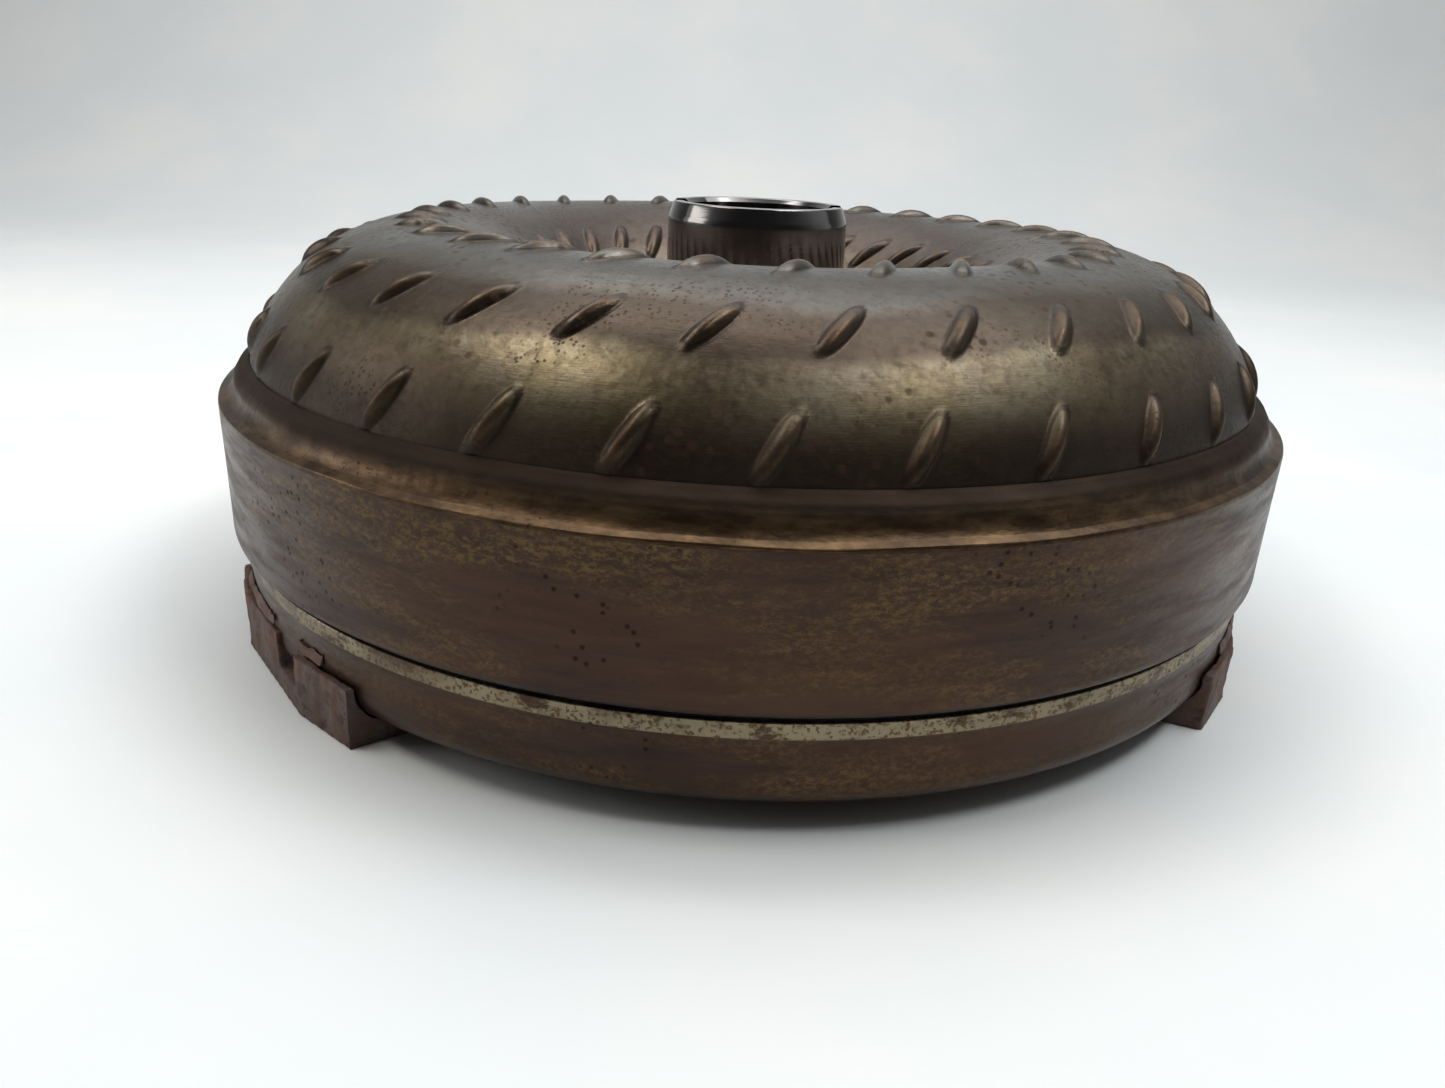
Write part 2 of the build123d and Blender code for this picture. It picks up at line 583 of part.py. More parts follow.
with BuildPart() as lockup_piston:
    with BuildSketch(Plane.XZ):
        with BuildLine():
            Polyline(
                (NOSE_R + RUNNING, PISTON_CENTRE_Z), (PISTON_STEP_R[0], PISTON_CENTRE_Z),
                (PISTON_STEP_R[1], PISTON_FACE_Z), (PISTON_R, PISTON_FACE_Z), (PISTON_R, PISTON_RIM[1]),
                (PISTON_RIM[0], PISTON_RIM[1]), (PISTON_RIM[0], PISTON_FACE_Z + PISTON_T),
                (PISTON_STEP_R[1] - 1.5, PISTON_FACE_Z + PISTON_T),
                (PISTON_STEP_R[0] - 1.5, PISTON_CENTRE_Z + PISTON_T),
                (PISTON_SLEEVE[0], PISTON_CENTRE_Z + PISTON_T), (PISTON_SLEEVE[0], PISTON_SLEEVE[1]),
                (NOSE_R + RUNNING, PISTON_SLEEVE[1]), close=True,
            )
        make_face()
    revolve(axis=Axis.Z)
    # slots that the cage's tangs slide in
    with BuildSketch(Plane.XY.offset(CAGE_Z[0] - 0.3)):
        with PolarLocations(PISTON_RIM[0] - 1, TANG_COUNT):
            Rectangle(PISTON_R, TANG_W + 0.5, align=(Align.MIN, Align.CENTER))
    extrude(amount=PISTON_RIM[1], mode=Mode.SUBTRACT)
write(lockup_piston, "lockup_piston")

LINING_R = (88.0, 106.0)
LINING_T = 1.4
with BuildPart() as friction_lining:
    with BuildSketch(Plane.XY.offset(PISTON_FACE_Z - LINING_T)):
        Circle(LINING_R[1])
        Circle(LINING_R[0], mode=Mode.SUBTRACT)
    extrude(amount=LINING_T)
write(friction_lining, "friction_lining")

WASHER_R = (14.6, 23.5)
WASHER_Z = (13.3, 15.8)
with BuildPart() as cover_thrust_washer:
    with BuildSketch(Plane.XY.offset(WASHER_Z[0])):
        Circle(WASHER_R[1])
        Circle(WASHER_R[0], mode=Mode.SUBTRACT)
    extrude(amount=WASHER_Z[1] - WASHER_Z[0])
    with BuildSketch(Plane.XY.offset(WASHER_Z[0])):
        with PolarLocations((WASHER_R[0] + WASHER_R[1]) / 2, 4):
            Rectangle(WASHER_R[1], 3)
    extrude(amount=0.8, mode=Mode.SUBTRACT)
write(cover_thrust_washer, "cover_thrust_washer")

# ---------------------------------------------------------------- stator and its one-way clutch
STATOR_Z = (43.5, 61.5)
STATOR_HUB_R = (36.0, 41.0)
STATOR_SHROUD_R = (62.0, 63.5)
STATOR_BLADES = 15
ROLLERS = 10
ROLLER_R = 2.9
ROLLER_PCR = 29.6
ROLLER_SHIFT = 2.2      # a roller sits at the tight end of its pocket
POCKET_SIZE = (10.9, 6.4)
RACE_BORE_R = 28.2
INNER_RACE_R = 26.5
INNER_RACE_Z = (42.0, 63.0)
SUPPORT_SPLINE_R = (15.8, 17.0)
SUPPORT_TEETH = 28
CAP_T = 2.0
CAP_R = (27.2, 40.5)

stator_height = STATOR_Z[1] - STATOR_Z[0]
stator_middle = (STATOR_Z[0] + STATOR_Z[1]) / 2
with BuildPart() as stator_blade:
    with BuildSketch(Plane(origin=(STATOR_HUB_R[1] - 1, 0, stator_middle), x_dir=(0, 1, 0), z_dir=(1, 0, 0))):
        with BuildLine():
            ThreePointArc((-4.5, -7.8), (0.6, -1.0), (6.0, 7.8))
            ThreePointArc((6.0, 7.8), (-2.6, 1.4), (-4.5, -7.8))
        make_face()
    extrude(amount=STATOR_SHROUD_R[0] - STATOR_HUB_R[1] + 1.5)
with BuildPart() as stator_wheel:
    with BuildSketch(Plane.XY.offset(STATOR_Z[0])):
        Circle(STATOR_HUB_R[1])
        Circle(STATOR_HUB_R[0], mode=Mode.SUBTRACT)
    extrude(amount=stator_height)
    with BuildSketch(Plane.XY.offset(STATOR_Z[0] + 0.5)):
        Circle(STATOR_SHROUD_R[1])
        Circle(STATOR_SHROUD_R[0], mode=Mode.SUBTRACT)
    extrude(amount=stator_height - 1)
    with PolarLocations(0, STATOR_BLADES):
        add(stator_blade.part)
write(stator_wheel, "stator_wheel")

with BuildPart() as clutch_outer_race:
    with BuildSketch(Plane.XY.offset(STATOR_Z[0])):
        Circle(STATOR_HUB_R[0])
        Circle(RACE_BORE_R, mode=Mode.SUBTRACT)
        with PolarLocations(ROLLER_PCR, ROLLERS):
            SlotOverall(*POCKET_SIZE, rotation=90, mode=Mode.SUBTRACT)
    extrude(amount=stator_height)
write(clutch_outer_race, "clutch_outer_race")

with BuildPart() as clutch_rollers:
    with BuildSketch(Plane.XY.offset(STATOR_Z[0] + 0.3)):
        with PolarLocations(ROLLER_PCR, ROLLERS):
            with Locations((0, -ROLLER_SHIFT)):
                Circle(ROLLER_R)
    extrude(amount=stator_height - 0.6)
    chamfer(clutch_rollers.edges().filter_by(GeomType.CIRCLE), length=0.4)
write(clutch_rollers, "clutch_rollers")

with BuildPart() as leaf_spring:
    with BuildSketch(Plane.XY.offset(STATOR_Z[0] + 4)):
        with BuildLine():
            Polyline(
                (ROLLER_PCR - 1.6, 1.2), (ROLLER_PCR + 1.6, 2.2), (ROLLER_PCR - 1.6, 3.2),
                (ROLLER_PCR + 1.2, 4.2),
            )
        trace(line_width=0.4)
    extrude(amount=stator_height - 8)
with BuildPart() as clutch_springs:
    with PolarLocations(0, ROLLERS):
        add(leaf_spring.part)
write(clutch_springs, "clutch_springs")

with BuildPart() as clutch_inner_race:
    with BuildSketch(Plane.XY.offset(INNER_RACE_Z[0])):
        Circle(INNER_RACE_R)
        Circle(SUPPORT_SPLINE_R[0], mode=Mode.SUBTRACT)
        with PolarLocations(SUPPORT_SPLINE_R[0], SUPPORT_TEETH):
            Rectangle(2 * (SUPPORT_SPLINE_R[1] - SUPPORT_SPLINE_R[0]), 1.8, mode=Mode.SUBTRACT)
    extrude(amount=INNER_RACE_Z[1] - INNER_RACE_Z[0])
write(clutch_inner_race, "clutch_inner_race")

for side, low_z in (("turbine_side", STATOR_Z[0] - CAP_T), ("pump_side", STATOR_Z[1])):
    with BuildPart() as clutch_end_cap:
        with BuildSketch(Plane.XY.offset(low_z)):
            Circle(CAP_R[1])
            Circle(CAP_R[0], mode=Mode.SUBTRACT)
        extrude(amount=CAP_T)
    write(clutch_end_cap, f"clutch_end_cap_{side}")

# ---------------------------------------------------------------- needle thrust bearings
NEEDLES = 24
NEEDLE_R = 0.95
RACE_GAP = 0.05         # between a needle and each race
NEEDLE_CAGE_T = 1.1

# each bearing: low side, inner and outer radius, thickness of each race, names of its two races
BEARINGS = {
    "turbine_bearing": (
        BOSS_TOP_Z, 27.6, 35.5, 1.1, ("turbine_bearing_hub_race", "turbine_bearing_stator_race"),
    ),
    "pump_bearing": (
        STATOR_Z[1] + CAP_T, 28.0, 40.0, 1.0, ("pump_bearing_stator_race", "pump_bearing_shell_race"),
    ),
}
for bearing, (low_z, inner_r, outer_r, race_t, race_names) in BEARINGS.items():
    needle_z = low_z + race_t + RACE_GAP + NEEDLE_R
    for race_name, race_z in zip(race_names, (low_z, needle_z + NEEDLE_R + RACE_GAP)):
        with BuildPart() as bearing_race:
            with BuildSketch(Plane.XY.offset(race_z)):
                Circle(outer_r)
                Circle(inner_r, mode=Mode.SUBTRACT)
            extrude(amount=race_t)
        write(bearing_race, race_name)
    needle_length = outer_r - inner_r - 3
    with BuildPart() as needle:
        with BuildSketch(Plane.YZ.offset(inner_r + 1.5)):
            with Locations((0, needle_z)):
                Circle(NEEDLE_R)
        extrude(amount=needle_length)
    with BuildPart() as needle_set:
        with PolarLocations(0, NEEDLES):
            add(needle.part)
    write(needle_set, f"{bearing}_needles")
    with BuildPart() as needle_cage:
        with BuildSketch(Plane.XY.offset(needle_z - NEEDLE_CAGE_T / 2)):
            Circle(outer_r - 0.3)
            Circle(inner_r + 0.3, mode=Mode.SUBTRACT)
            with PolarLocations((inner_r + outer_r) / 2, NEEDLES):
                Rectangle(needle_length + 0.3, 2 * NEEDLE_R + 0.1, mode=Mode.SUBTRACT)
        extrude(amount=NEEDLE_CAGE_T)
    write(needle_cage, f"{bearing}_cage")
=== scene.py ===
"""Looks for the torque converter: its shell, cover, welds, lugs and hub as worked-out surfaces, and a
finish for every inner piece. Lengths in the profile functions are millimetres, meshes are metres."""

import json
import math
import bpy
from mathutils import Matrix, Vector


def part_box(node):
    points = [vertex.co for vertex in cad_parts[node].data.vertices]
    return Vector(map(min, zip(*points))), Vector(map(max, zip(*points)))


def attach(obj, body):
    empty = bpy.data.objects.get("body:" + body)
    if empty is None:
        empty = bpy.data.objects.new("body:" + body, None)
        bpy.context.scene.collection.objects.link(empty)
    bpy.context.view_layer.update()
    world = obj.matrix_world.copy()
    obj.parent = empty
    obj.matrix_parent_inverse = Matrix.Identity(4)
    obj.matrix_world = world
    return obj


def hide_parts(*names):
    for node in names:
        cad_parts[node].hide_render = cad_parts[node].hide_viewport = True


bl_info = {
    "name": "Torque converter looks",
    "version": (1, 0, 0),
    "blender": (4, 5, 0),
    "location": "View3D > Sidebar > Converter",
    "description": "Builds the visible surfaces and finishes of a welded torque converter",
    "category": "Object",
}

import bpy
import numpy as np
from mathutils import Matrix, Vector

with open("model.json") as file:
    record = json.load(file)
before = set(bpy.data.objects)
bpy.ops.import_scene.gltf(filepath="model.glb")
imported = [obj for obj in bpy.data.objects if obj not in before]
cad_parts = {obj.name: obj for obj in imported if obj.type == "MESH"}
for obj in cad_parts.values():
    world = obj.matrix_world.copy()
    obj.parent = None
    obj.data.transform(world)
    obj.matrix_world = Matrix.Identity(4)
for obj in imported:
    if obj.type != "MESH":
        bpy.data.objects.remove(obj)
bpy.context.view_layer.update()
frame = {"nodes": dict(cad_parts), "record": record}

MM = 0.001
TWO_PI = 2 * math.pi


def top_of(node):
    """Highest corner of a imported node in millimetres."""
    return [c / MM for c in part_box(node)[1]]


def foot_of(node):
    """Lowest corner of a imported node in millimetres."""
    return [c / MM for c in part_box(node)[0]]


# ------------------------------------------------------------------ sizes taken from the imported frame
DRUM_R = top_of("front_cover")[0]
FACE_Z = foot_of("front_cover")[2]
DRUM_TOP_Z = top_of("front_cover")[2]
WALL_R = DRUM_R - 2.8
BAND_R = DRUM_R - 2.1
BAND_FOOT, BAND_TOP = 20.6, 23.9
TORUS_R = 82.4
TORUS_Z = 52.1
SHELL_R = 40.8
SHELL_T = 3.0
MOUTH_R = TORUS_R + SHELL_R
FLANGE_Z = foot_of("hub_weld")[2]
FLANGE_T = FLANGE_Z - foot_of("pump_hub")[2]
HUB_TOP_Z = top_of("pump_hub")[2]
HUB_FOOT_R = top_of("pump_hub")[0]
TABS_PER_ROW = 31
PITCH = 360 / TABS_PER_ROW


# ------------------------------------------------------------------ settings that a user would change
class ConverterSizes(bpy.types.PropertyGroup):
    tab_height: bpy.props.FloatProperty(
        name="Tab height", description="How far a blade tab's bump stands out of the shell",
        default=0.0017, min=0.0, max=0.003, precision=5, unit="LENGTH")
    tab_half_width: bpy.props.FloatProperty(
        name="Tab half width", description="From a bump's ridge to where it meets the shell",
        default=0.00205, min=0.001, max=0.004, precision=5, unit="LENGTH")
    tab_length: bpy.props.FloatProperty(
        name="Tab length", description="End to end length of a bump",
        default=0.0146, min=0.008, max=0.018, precision=4, unit="LENGTH")
    weld_ripple: bpy.props.FloatProperty(
        name="Weld ripple", description="Depth of the ripples along the closing weld",
        default=0.00005, min=0.0, max=0.0005, precision=6, unit="LENGTH")
    camera_height: bpy.props.FloatProperty(
        name="Camera height", description="Height of the lens above the floor",
        default=0.1167, unit="LENGTH")
    camera_distance: bpy.props.FloatProperty(
        name="Camera distance", description="Distance of the lens in front of the turning axis",
        default=0.2833, unit="LENGTH")


class ConverterColours(bpy.types.PropertyGroup):
    shell: bpy.props.FloatVectorProperty(
        name="Shell", description="Olive bronze of the oxidised impeller shell",
        subtype="COLOR", size=3, default=(0.130, 0.102, 0.052), min=0, max=1)
    shell_heat: bpy.props.FloatVectorProperty(
        name="Shell, heated", description="Purple brown where heat has tinted the shell",
        subtype="COLOR", size=3, default=(0.080, 0.050, 0.038), min=0, max=1)
    cover: bpy.props.FloatVectorProperty(
        name="Cover", description="Dark purple brown of the drum",
        subtype="COLOR", size=3, default=(0.052, 0.031, 0.023), min=0, max=1)
    ochre: bpy.props.FloatVectorProperty(
        name="Ochre", description="Golden mottling of the drum",
        subtype="COLOR", size=3, default=(0.150, 0.098, 0.036), min=0, max=1)
    scraped: bpy.props.FloatVectorProperty(
        name="Scraped steel", description="Bare steel of the locating band",
        subtype="COLOR", size=3, default=(0.235, 0.195, 0.125), min=0, max=1)
    rust: bpy.props.FloatVectorProperty(
        name="Rust", description="Red brown rust of lugs and specks",
        subtype="COLOR", size=3, default=(0.120, 0.052, 0.032), min=0, max=1)


def sizes():
    """The scene's size settings, in metres."""
    return bpy.context.scene.converter_sizes


def colour(name):
    """One of the scene's colour settings, with full opacity."""
    return (*getattr(bpy.context.scene.converter_colours, name), 1.0)


# ------------------------------------------------------------------ profiles and grids
def line(start, end, steps):
    """Points evenly spaced on the straight line from start to end, without the last one."""
    t = np.linspace(0, 1, steps, endpoint=False)[:, None]
    return np.asarray(start, float) * (1 - t) + np.asarray(end, float) * t


def arc(centre, radius, start, end, steps):
    """Points at centre + radius (cos a, sin a), a running from start to end degrees, without the last."""
    a = np.radians(np.linspace(start, end, steps, endpoint=False))
    return np.stack([centre[0] + radius * np.cos(a), centre[1] + radius * np.sin(a)], 1)


def smooth(x, low, high):
    """0 below low, 1 above high, and 3t^2 - 2t^3 between them."""
    t = np.clip((x - low) / (high - low), 0, 1)
    return t * t * (3 - 2 * t)


def waves(angle, seed, count, lowest, highest):
    """Sum of count sines of the angle about the axis, whole turns each, scaled to about -1..1."""
    rng = np.random.default_rng(seed)
    turns = rng.integers(lowest, highest, count)
    phase = rng.uniform(0, TWO_PI, count)
    return sum(np.sin(k * angle + p) for k, p in zip(turns, phase)) / count ** 0.5


def rounded(r, theta, z):
    """Cylinder coordinates in millimetres to points in metres."""
    return np.stack([r * np.cos(theta), r * np.sin(theta), z + 0 * theta], -1) * MM


def grid_object(name, points, sharp=40.0, attributes=None):
    """Joins a grid of points (rows x columns, both closing on themselves) into a mesh of quads whose faces
    point out of the volume that they enclose."""
    rows, columns = points.shape[:2]
    i, j = np.meshgrid(np.arange(rows), np.arange(columns), indexing="ij")
    down, right = (i + 1) % rows, (j + 1) % columns
    quads = np.stack([i * columns + j, i * columns + right, down * columns + right, down * columns + j], -1)
    quads = quads.reshape(-1, 4)
    co = points.reshape(-1, 3)
    a, b, c, d = (co[quads[:, k]] for k in range(4))
    volume = np.einsum("ij,ij->i", a, np.cross(b, c)).sum() + np.einsum("ij,ij->i", a, np.cross(c, d)).sum()
    if volume < 0:
        quads = quads[:, ::-1]
    mesh = bpy.data.meshes.new(name)
    mesh.vertices.add(len(co))
    mesh.vertices.foreach_set("co", co.astype(np.float32).ravel())
    mesh.loops.add(quads.size)
    mesh.loops.foreach_set("vertex_index", quads.astype(np.int32).ravel())
    mesh.polygons.add(len(quads))
    mesh.polygons.foreach_set("loop_start", np.arange(0, quads.size, 4, dtype=np.int32))
    mesh.update(calc_edges=True)
    for label, values in (attributes or {}).items():
        mesh.attributes.new(label, "FLOAT", "POINT").data.foreach_set(
            "value", np.asarray(values, np.float32).ravel())
    mesh.shade_smooth()
    mesh.set_sharp_from_angle(angle=math.radians(sharp))
    made = bpy.data.objects.new(name, mesh)
    bpy.context.scene.collection.objects.link(made)
    return made


def lathe(name, loop, columns, push=None, sharp=40.0):
    """Turns a closed profile loop of (radius, height) about Z. push(r, z, theta) may move its points."""
    theta = np.linspace(0, TWO_PI, columns, endpoint=False)[None, :]
    r = loop[:, 0][:, None] + 0 * theta
    z = loop[:, 1][:, None] + 0 * theta
    if push:
        r, z = push(r, z, theta + 0 * r)
    return grid_object(name, rounded(r, theta + 0 * r, z), sharp)


def finish_piece(piece, material, slot, *nodes):
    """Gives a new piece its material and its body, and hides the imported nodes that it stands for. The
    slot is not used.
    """
    piece.data.materials.append(material)
    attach(piece, "housing")
    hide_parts(*nodes)
    return piece


# ------------------------------------------------------------------ node materials
class Finish:
    """A node material under construction: each call adds one node and returns its output."""

    def __init__(self, name):
        self.material = bpy.data.materials.new(name)
        self.material.use_nodes = True
        self.tree = self.material.node_tree
        self.tree.nodes.clear()
        self.shader = self.tree.nodes.new("ShaderNodeBsdfPrincipled")
        output = self.tree.nodes.new("ShaderNodeOutputMaterial")
        self.tree.links.new(self.shader.outputs["BSDF"], output.inputs["Surface"])
        self.place = self.tree.nodes.new("ShaderNodeTexCoord").outputs["Object"]
        split = self.tree.nodes.new("ShaderNodeSeparateXYZ")
        self.tree.links.new(self.place, split.inputs[0])
        self.x, self.y, self.z = split.outputs
        self.height = self.both(self.z, 1 / MM)

    def put(self, socket, value):
        """Links another node's output to the socket, or sets the socket's own value."""
        if isinstance(value, bpy.types.NodeSocket):
            self.tree.links.new(value, socket)
        else:
            socket.default_value = value

    def math(self, operation, a, b=0.0, clamp=False):
        """One sum, product or other operation of a and b."""
        node = self.tree.nodes.new("ShaderNodeMath")
        node.operation = operation
        node.use_clamp = clamp
        self.put(node.inputs[0], a)
        self.put(node.inputs[1], b)
        return node.outputs[0]

    def radius(self):
        """Distance from the turning axis in millimetres."""
        squares = self.math("ADD", self.both(self.x, self.x), self.both(self.y, self.y))
        return self.both(self.math("SQRT", squares), 1 / MM)

    def stretch(self, x=1.0, y=1.0, z=1.0):
        """The object coordinates scaled along each axis."""
        node = self.tree.nodes.new("ShaderNodeMapping")
        self.put(node.inputs["Vector"], self.place)
        node.inputs["Scale"].default_value = (x, y, z)
        return node.outputs[0]

    def noise(self, scale, detail=4.0, roughness=0.55, at=None):
        """Fractal noise of about scale waves to the metre."""
        node = self.tree.nodes.new("ShaderNodeTexNoise")
        self.put(node.inputs["Vector"], at or self.place)
        node.inputs["Scale"].default_value = scale
        node.inputs["Detail"].default_value = detail
        node.inputs["Roughness"].default_value = roughness
        return node.outputs[0]

    def cells(self, scale):
        """Distance to the nearest of points scattered about scale to the metre."""
        node = self.tree.nodes.new("ShaderNodeTexVoronoi")
        self.put(node.inputs["Vector"], self.place)
        node.inputs["Scale"].default_value = scale
        return node.outputs["Distance"]

    def rise(self, value, low, high, to_low=0.0, to_high=1.0):
        """Smoothly from to_low to to_high as value goes from low to high."""
        node = self.tree.nodes.new("ShaderNodeMapRange")
        node.interpolation_type = "SMOOTHSTEP"
        for socket, item in zip(node.inputs, (value, low, high, to_low, to_high)):
            self.put(socket, item)
        return node.outputs[0]

    def between(self, value, low, high, soft):
        """1 where value is between low and high, falling to 0 over soft outside them."""
        starts = self.rise(value, low - soft, low)
        ends = self.rise(value, high, high + soft, 1.0, 0.0)
        return self.both(starts, ends)

    def both(self, a, b):
        """Product of two amounts, or an amount made weaker by a number."""
        return self.math("MULTIPLY", a, b)

    def blend(self, amount, a, b):
        """Colour a where the amount is 0, and b where it is 1."""
        node = self.tree.nodes.new("ShaderNodeMix")
        node.data_type = "RGBA"
        self.put(node.inputs["Factor"], amount)
        self.put(node.inputs[6], a)
        self.put(node.inputs[7], b)
        return node.outputs[2]

    def attribute(self, name):
        """A value that the mesh carries at its points."""
        node = self.tree.nodes.new("ShaderNodeAttribute")
        node.attribute_name = name
        return node.outputs["Fac"]

    def bump(self, height, depth, strength, over=None):
        """Normal of a relief of that depth in metres, over an earlier normal if one is given."""
        node = self.tree.nodes.new("ShaderNodeBump")
        node.inputs["Strength"].default_value = strength
        node.inputs["Distance"].default_value = depth
        self.put(node.inputs["Height"], height)
        if over:
            self.put(node.inputs["Normal"], over)
        return node.outputs[0]

    def done(self, base, metallic, roughness, normal):
        """Links the shader's inputs and returns the material."""
        self.put(self.shader.inputs["Base Color"], base)
        self.put(self.shader.inputs["Metallic"], metallic)
        self.put(self.shader.inputs["Roughness"], roughness)
        self.put(self.shader.inputs["Normal"], normal)
        return self.material


def shell_finish():
    """Oxidised pressed steel: olive bronze flanks with heat-purple patches, a grey crown that is partly a
    painted sheen, soot at the foot, painted shade round the bumps' feet, rust specks.
    """
    f = Finish("oxidised_shell")
    tab = f.attribute("tab")
    patches = f.rise(f.noise(16, 5, 0.6), 0.40, 0.62)
    wander = f.math("ADD", f.height, f.both(f.math("SUBTRACT", f.noise(18, 4), 0.5), 9.0))
    base = f.blend(f.both(patches, 0.6), colour("shell"), colour("shell_heat"))
    film = f.rise(f.noise(45, 6, 0.65), 0.45, 0.70)
    base = f.blend(f.both(film, 0.30), base, (0.22, 0.20, 0.16, 1))
    belt = f.between(wander, 83.5, 88.5, 2.5)
    base = f.blend(f.both(belt, 0.80), base, (0.034, 0.021, 0.014, 1))
    # Grey crown: partly the steel's own tone, partly a painted sheen, the pale backdrop's reflection
    # painted into the colour.
    crown = f.rise(wander, 88.5, 91.0)
    base = f.blend(f.both(crown, 0.75), base, (0.078, 0.075, 0.073, 1))
    recess = f.rise(f.radius(), 80, 70)
    base = f.blend(f.both(recess, 0.8), base, (0.085, 0.062, 0.052, 1))
    streaks = f.noise(60, 4, 0.6, at=f.stretch(1, 1, 9))
    base = f.blend(f.rise(streaks, 0.5, 0.75, 0, 0.35), base, (0.07, 0.045, 0.03, 1))
    soot = f.rise(f.math("ADD", f.height, f.both(f.noise(40), 7.0)), 83, 71)
    base = f.blend(f.both(soot, 0.93), base, (0.022, 0.013, 0.007, 1))
    spots = f.rise(f.cells(330), 0.34, 0.16)
    spots = f.both(spots, f.rise(f.noise(26, 3), 0.50, 0.62))
    fine = f.rise(f.cells(900), 0.36, 0.20)
    fine = f.both(fine, f.rise(f.noise(40, 3), 0.50, 0.64))
    specks = f.math("MAXIMUM", spots, fine)
    base = f.blend(f.both(specks, 0.6), base, (0.050, 0.022, 0.013, 1))
    grain = f.rise(f.noise(420, 5, 0.7), 0.44, 0.66, 0.0, 0.5)
    base = f.blend(grain, base, (0.038, 0.026, 0.014, 1))
    # Painted shade: a dark ring round the foot of each bump, in the crease where it meets the shell.
    foot = f.between(tab, 0.02, 0.30, 0.02)
    base = f.blend(f.both(foot, 0.75), base, (0.026, 0.016, 0.010, 1))
    worn = f.both(f.rise(tab, 0.4, 0.8), f.rise(f.noise(300, 4, 0.6), 0.36, 0.6))
    base = f.blend(f.both(worn, 0.7), base, (0.070, 0.040, 0.020, 1))
    scratch = f.noise(300, 3, 0.7, at=f.stretch(1, 1, 14))
    gloss = f.rise(f.noise(22, 4), 0.35, 0.7, 0.27, 0.42)
    rough = f.math("ADD", gloss, f.both(specks, 0.25))
    rough = f.math("ADD", rough, f.both(soot, 0.12))
    rough = f.math("ADD", rough, f.rise(f.noise(700, 2), 0.4, 0.7, 0.0, 0.08), clamp=True)
    normal = f.bump(f.noise(160, 3, 0.5), 0.00035, 0.5)
    normal = f.bump(scratch, 0.00006, 0.5, normal)
    return f.done(base, 0.80, rough, normal)


def weld_finish():
    """Brown oxide over weld metal, polished along the crest and sooted towards the upper toe, by the shell.
    """
    f = Finish("closing_weld_bead")
    streaks = f.noise(110, 6, 0.65, at=f.stretch(1, 1, 3))
    base = f.blend(f.rise(streaks, 0.35, 0.7), (0.040, 0.023, 0.012, 1), (0.120, 0.072, 0.036, 1))
    wander = f.math("ADD", f.height, f.both(f.noise(20, 3), 4.0))
    base = f.blend(f.rise(wander, 60.5, 64.0, 0.0, 0.9), base, (0.020, 0.012, 0.008, 1))
    specks = f.both(f.rise(f.noise(900, 2), 0.6, 0.68), f.rise(f.noise(30, 2), 0.45, 0.6))
    base = f.blend(specks, base, (0.03, 0.014, 0.010, 1))
    rough = f.math("ADD", f.rise(f.noise(40, 3), 0.3, 0.7, 0.3, 0.46), f.rise(wander, 60.5, 64.0, 0.0, 0.3))
    normal = f.bump(f.noise(420, 5, 0.6, at=f.stretch(1, 1, 2)), 0.0002, 0.6)
    f.shader.inputs["Specular IOR Level"].default_value = 0.2
    return f.done(base, 0.75, rough, normal)


def cover_finish():
    """Dark purple-brown drum with ochre mottling in level streaks, and a scraped band of bare steel."""
    f = Finish("oxidised_cover")
    level = f.stretch(1, 1, 7)
    mottle = f.rise(f.noise(640, 9, 0.80, at=f.stretch(1, 1, 1.8)), 0.44, 0.60)
    where = f.rise(f.noise(22, 5, 0.65, at=f.stretch(1, 1, 3.5)), 0.40, 0.66)
    base = f.blend(f.both(mottle, f.both(where, 0.70)), colour("cover"), colour("ochre"))
    streaks = f.rise(f.noise(34, 5, 0.65, at=level), 0.48, 0.7)
    base = f.blend(f.both(streaks, 0.55), base, (0.032, 0.022, 0.022, 1))
    warm = f.rise(f.noise(12, 3, 0.5, at=f.stretch(1, 1, 4)), 0.45, 0.62)
    base = f.blend(f.both(warm, 0.35), base, (0.085, 0.045, 0.027, 1))
    band = f.between(f.height, BAND_FOOT + 0.15, BAND_TOP - 0.1, 0.5)
    ragged = f.rise(f.noise(130, 5, 0.7, at=f.stretch(1, 1, 2)), 0.36, 0.50)
    gaps = f.rise(f.noise(26, 3, 0.6), 0.30, 0.46)
    bare = f.both(band, f.both(ragged, gaps))
    base = f.blend(bare, base, colour("scraped"))
    grit = f.both(f.rise(f.noise(1100, 3, 0.6), 0.52, 0.60), f.both(band, 0.85))
    base = f.blend(grit, base, (0.085, 0.045, 0.025, 1))
    # Painted shade: a dark blue-grey band in the groove just above the machined band.
    groove = f.between(f.height, BAND_TOP + 0.2, BAND_TOP + 1.6, 0.4)
    base = f.blend(f.both(groove, 0.8), base, (0.030, 0.036, 0.045, 1))
    specks = f.both(f.rise(f.cells(420), 0.26, 0.12), f.rise(f.noise(34, 2), 0.52, 0.62))
    base = f.blend(f.both(specks, 0.7), base, (0.018, 0.009, 0.007, 1))
    gloss = f.rise(f.noise(50, 4, 0.6, at=level), 0.35, 0.7, 0.32, 0.50)
    rough = f.math("ADD", gloss, f.both(specks, 0.2))
    metallic = f.math("ADD", f.both(bare, 0.1), 0.85)
    f.shader.inputs["Specular IOR Level"].default_value = 0.25
    normal = f.bump(f.noise(70, 3, 0.5, at=f.stretch(1, 1, 2)), 0.0005, 0.35)
    normal = f.bump(f.noise(420, 4, 0.6, at=f.stretch(1, 1, 3)), 0.0001, 0.6, normal)
    normal = f.bump(bare, -0.00012, 0.8, normal)
    return f.done(base, metallic, rough, normal)


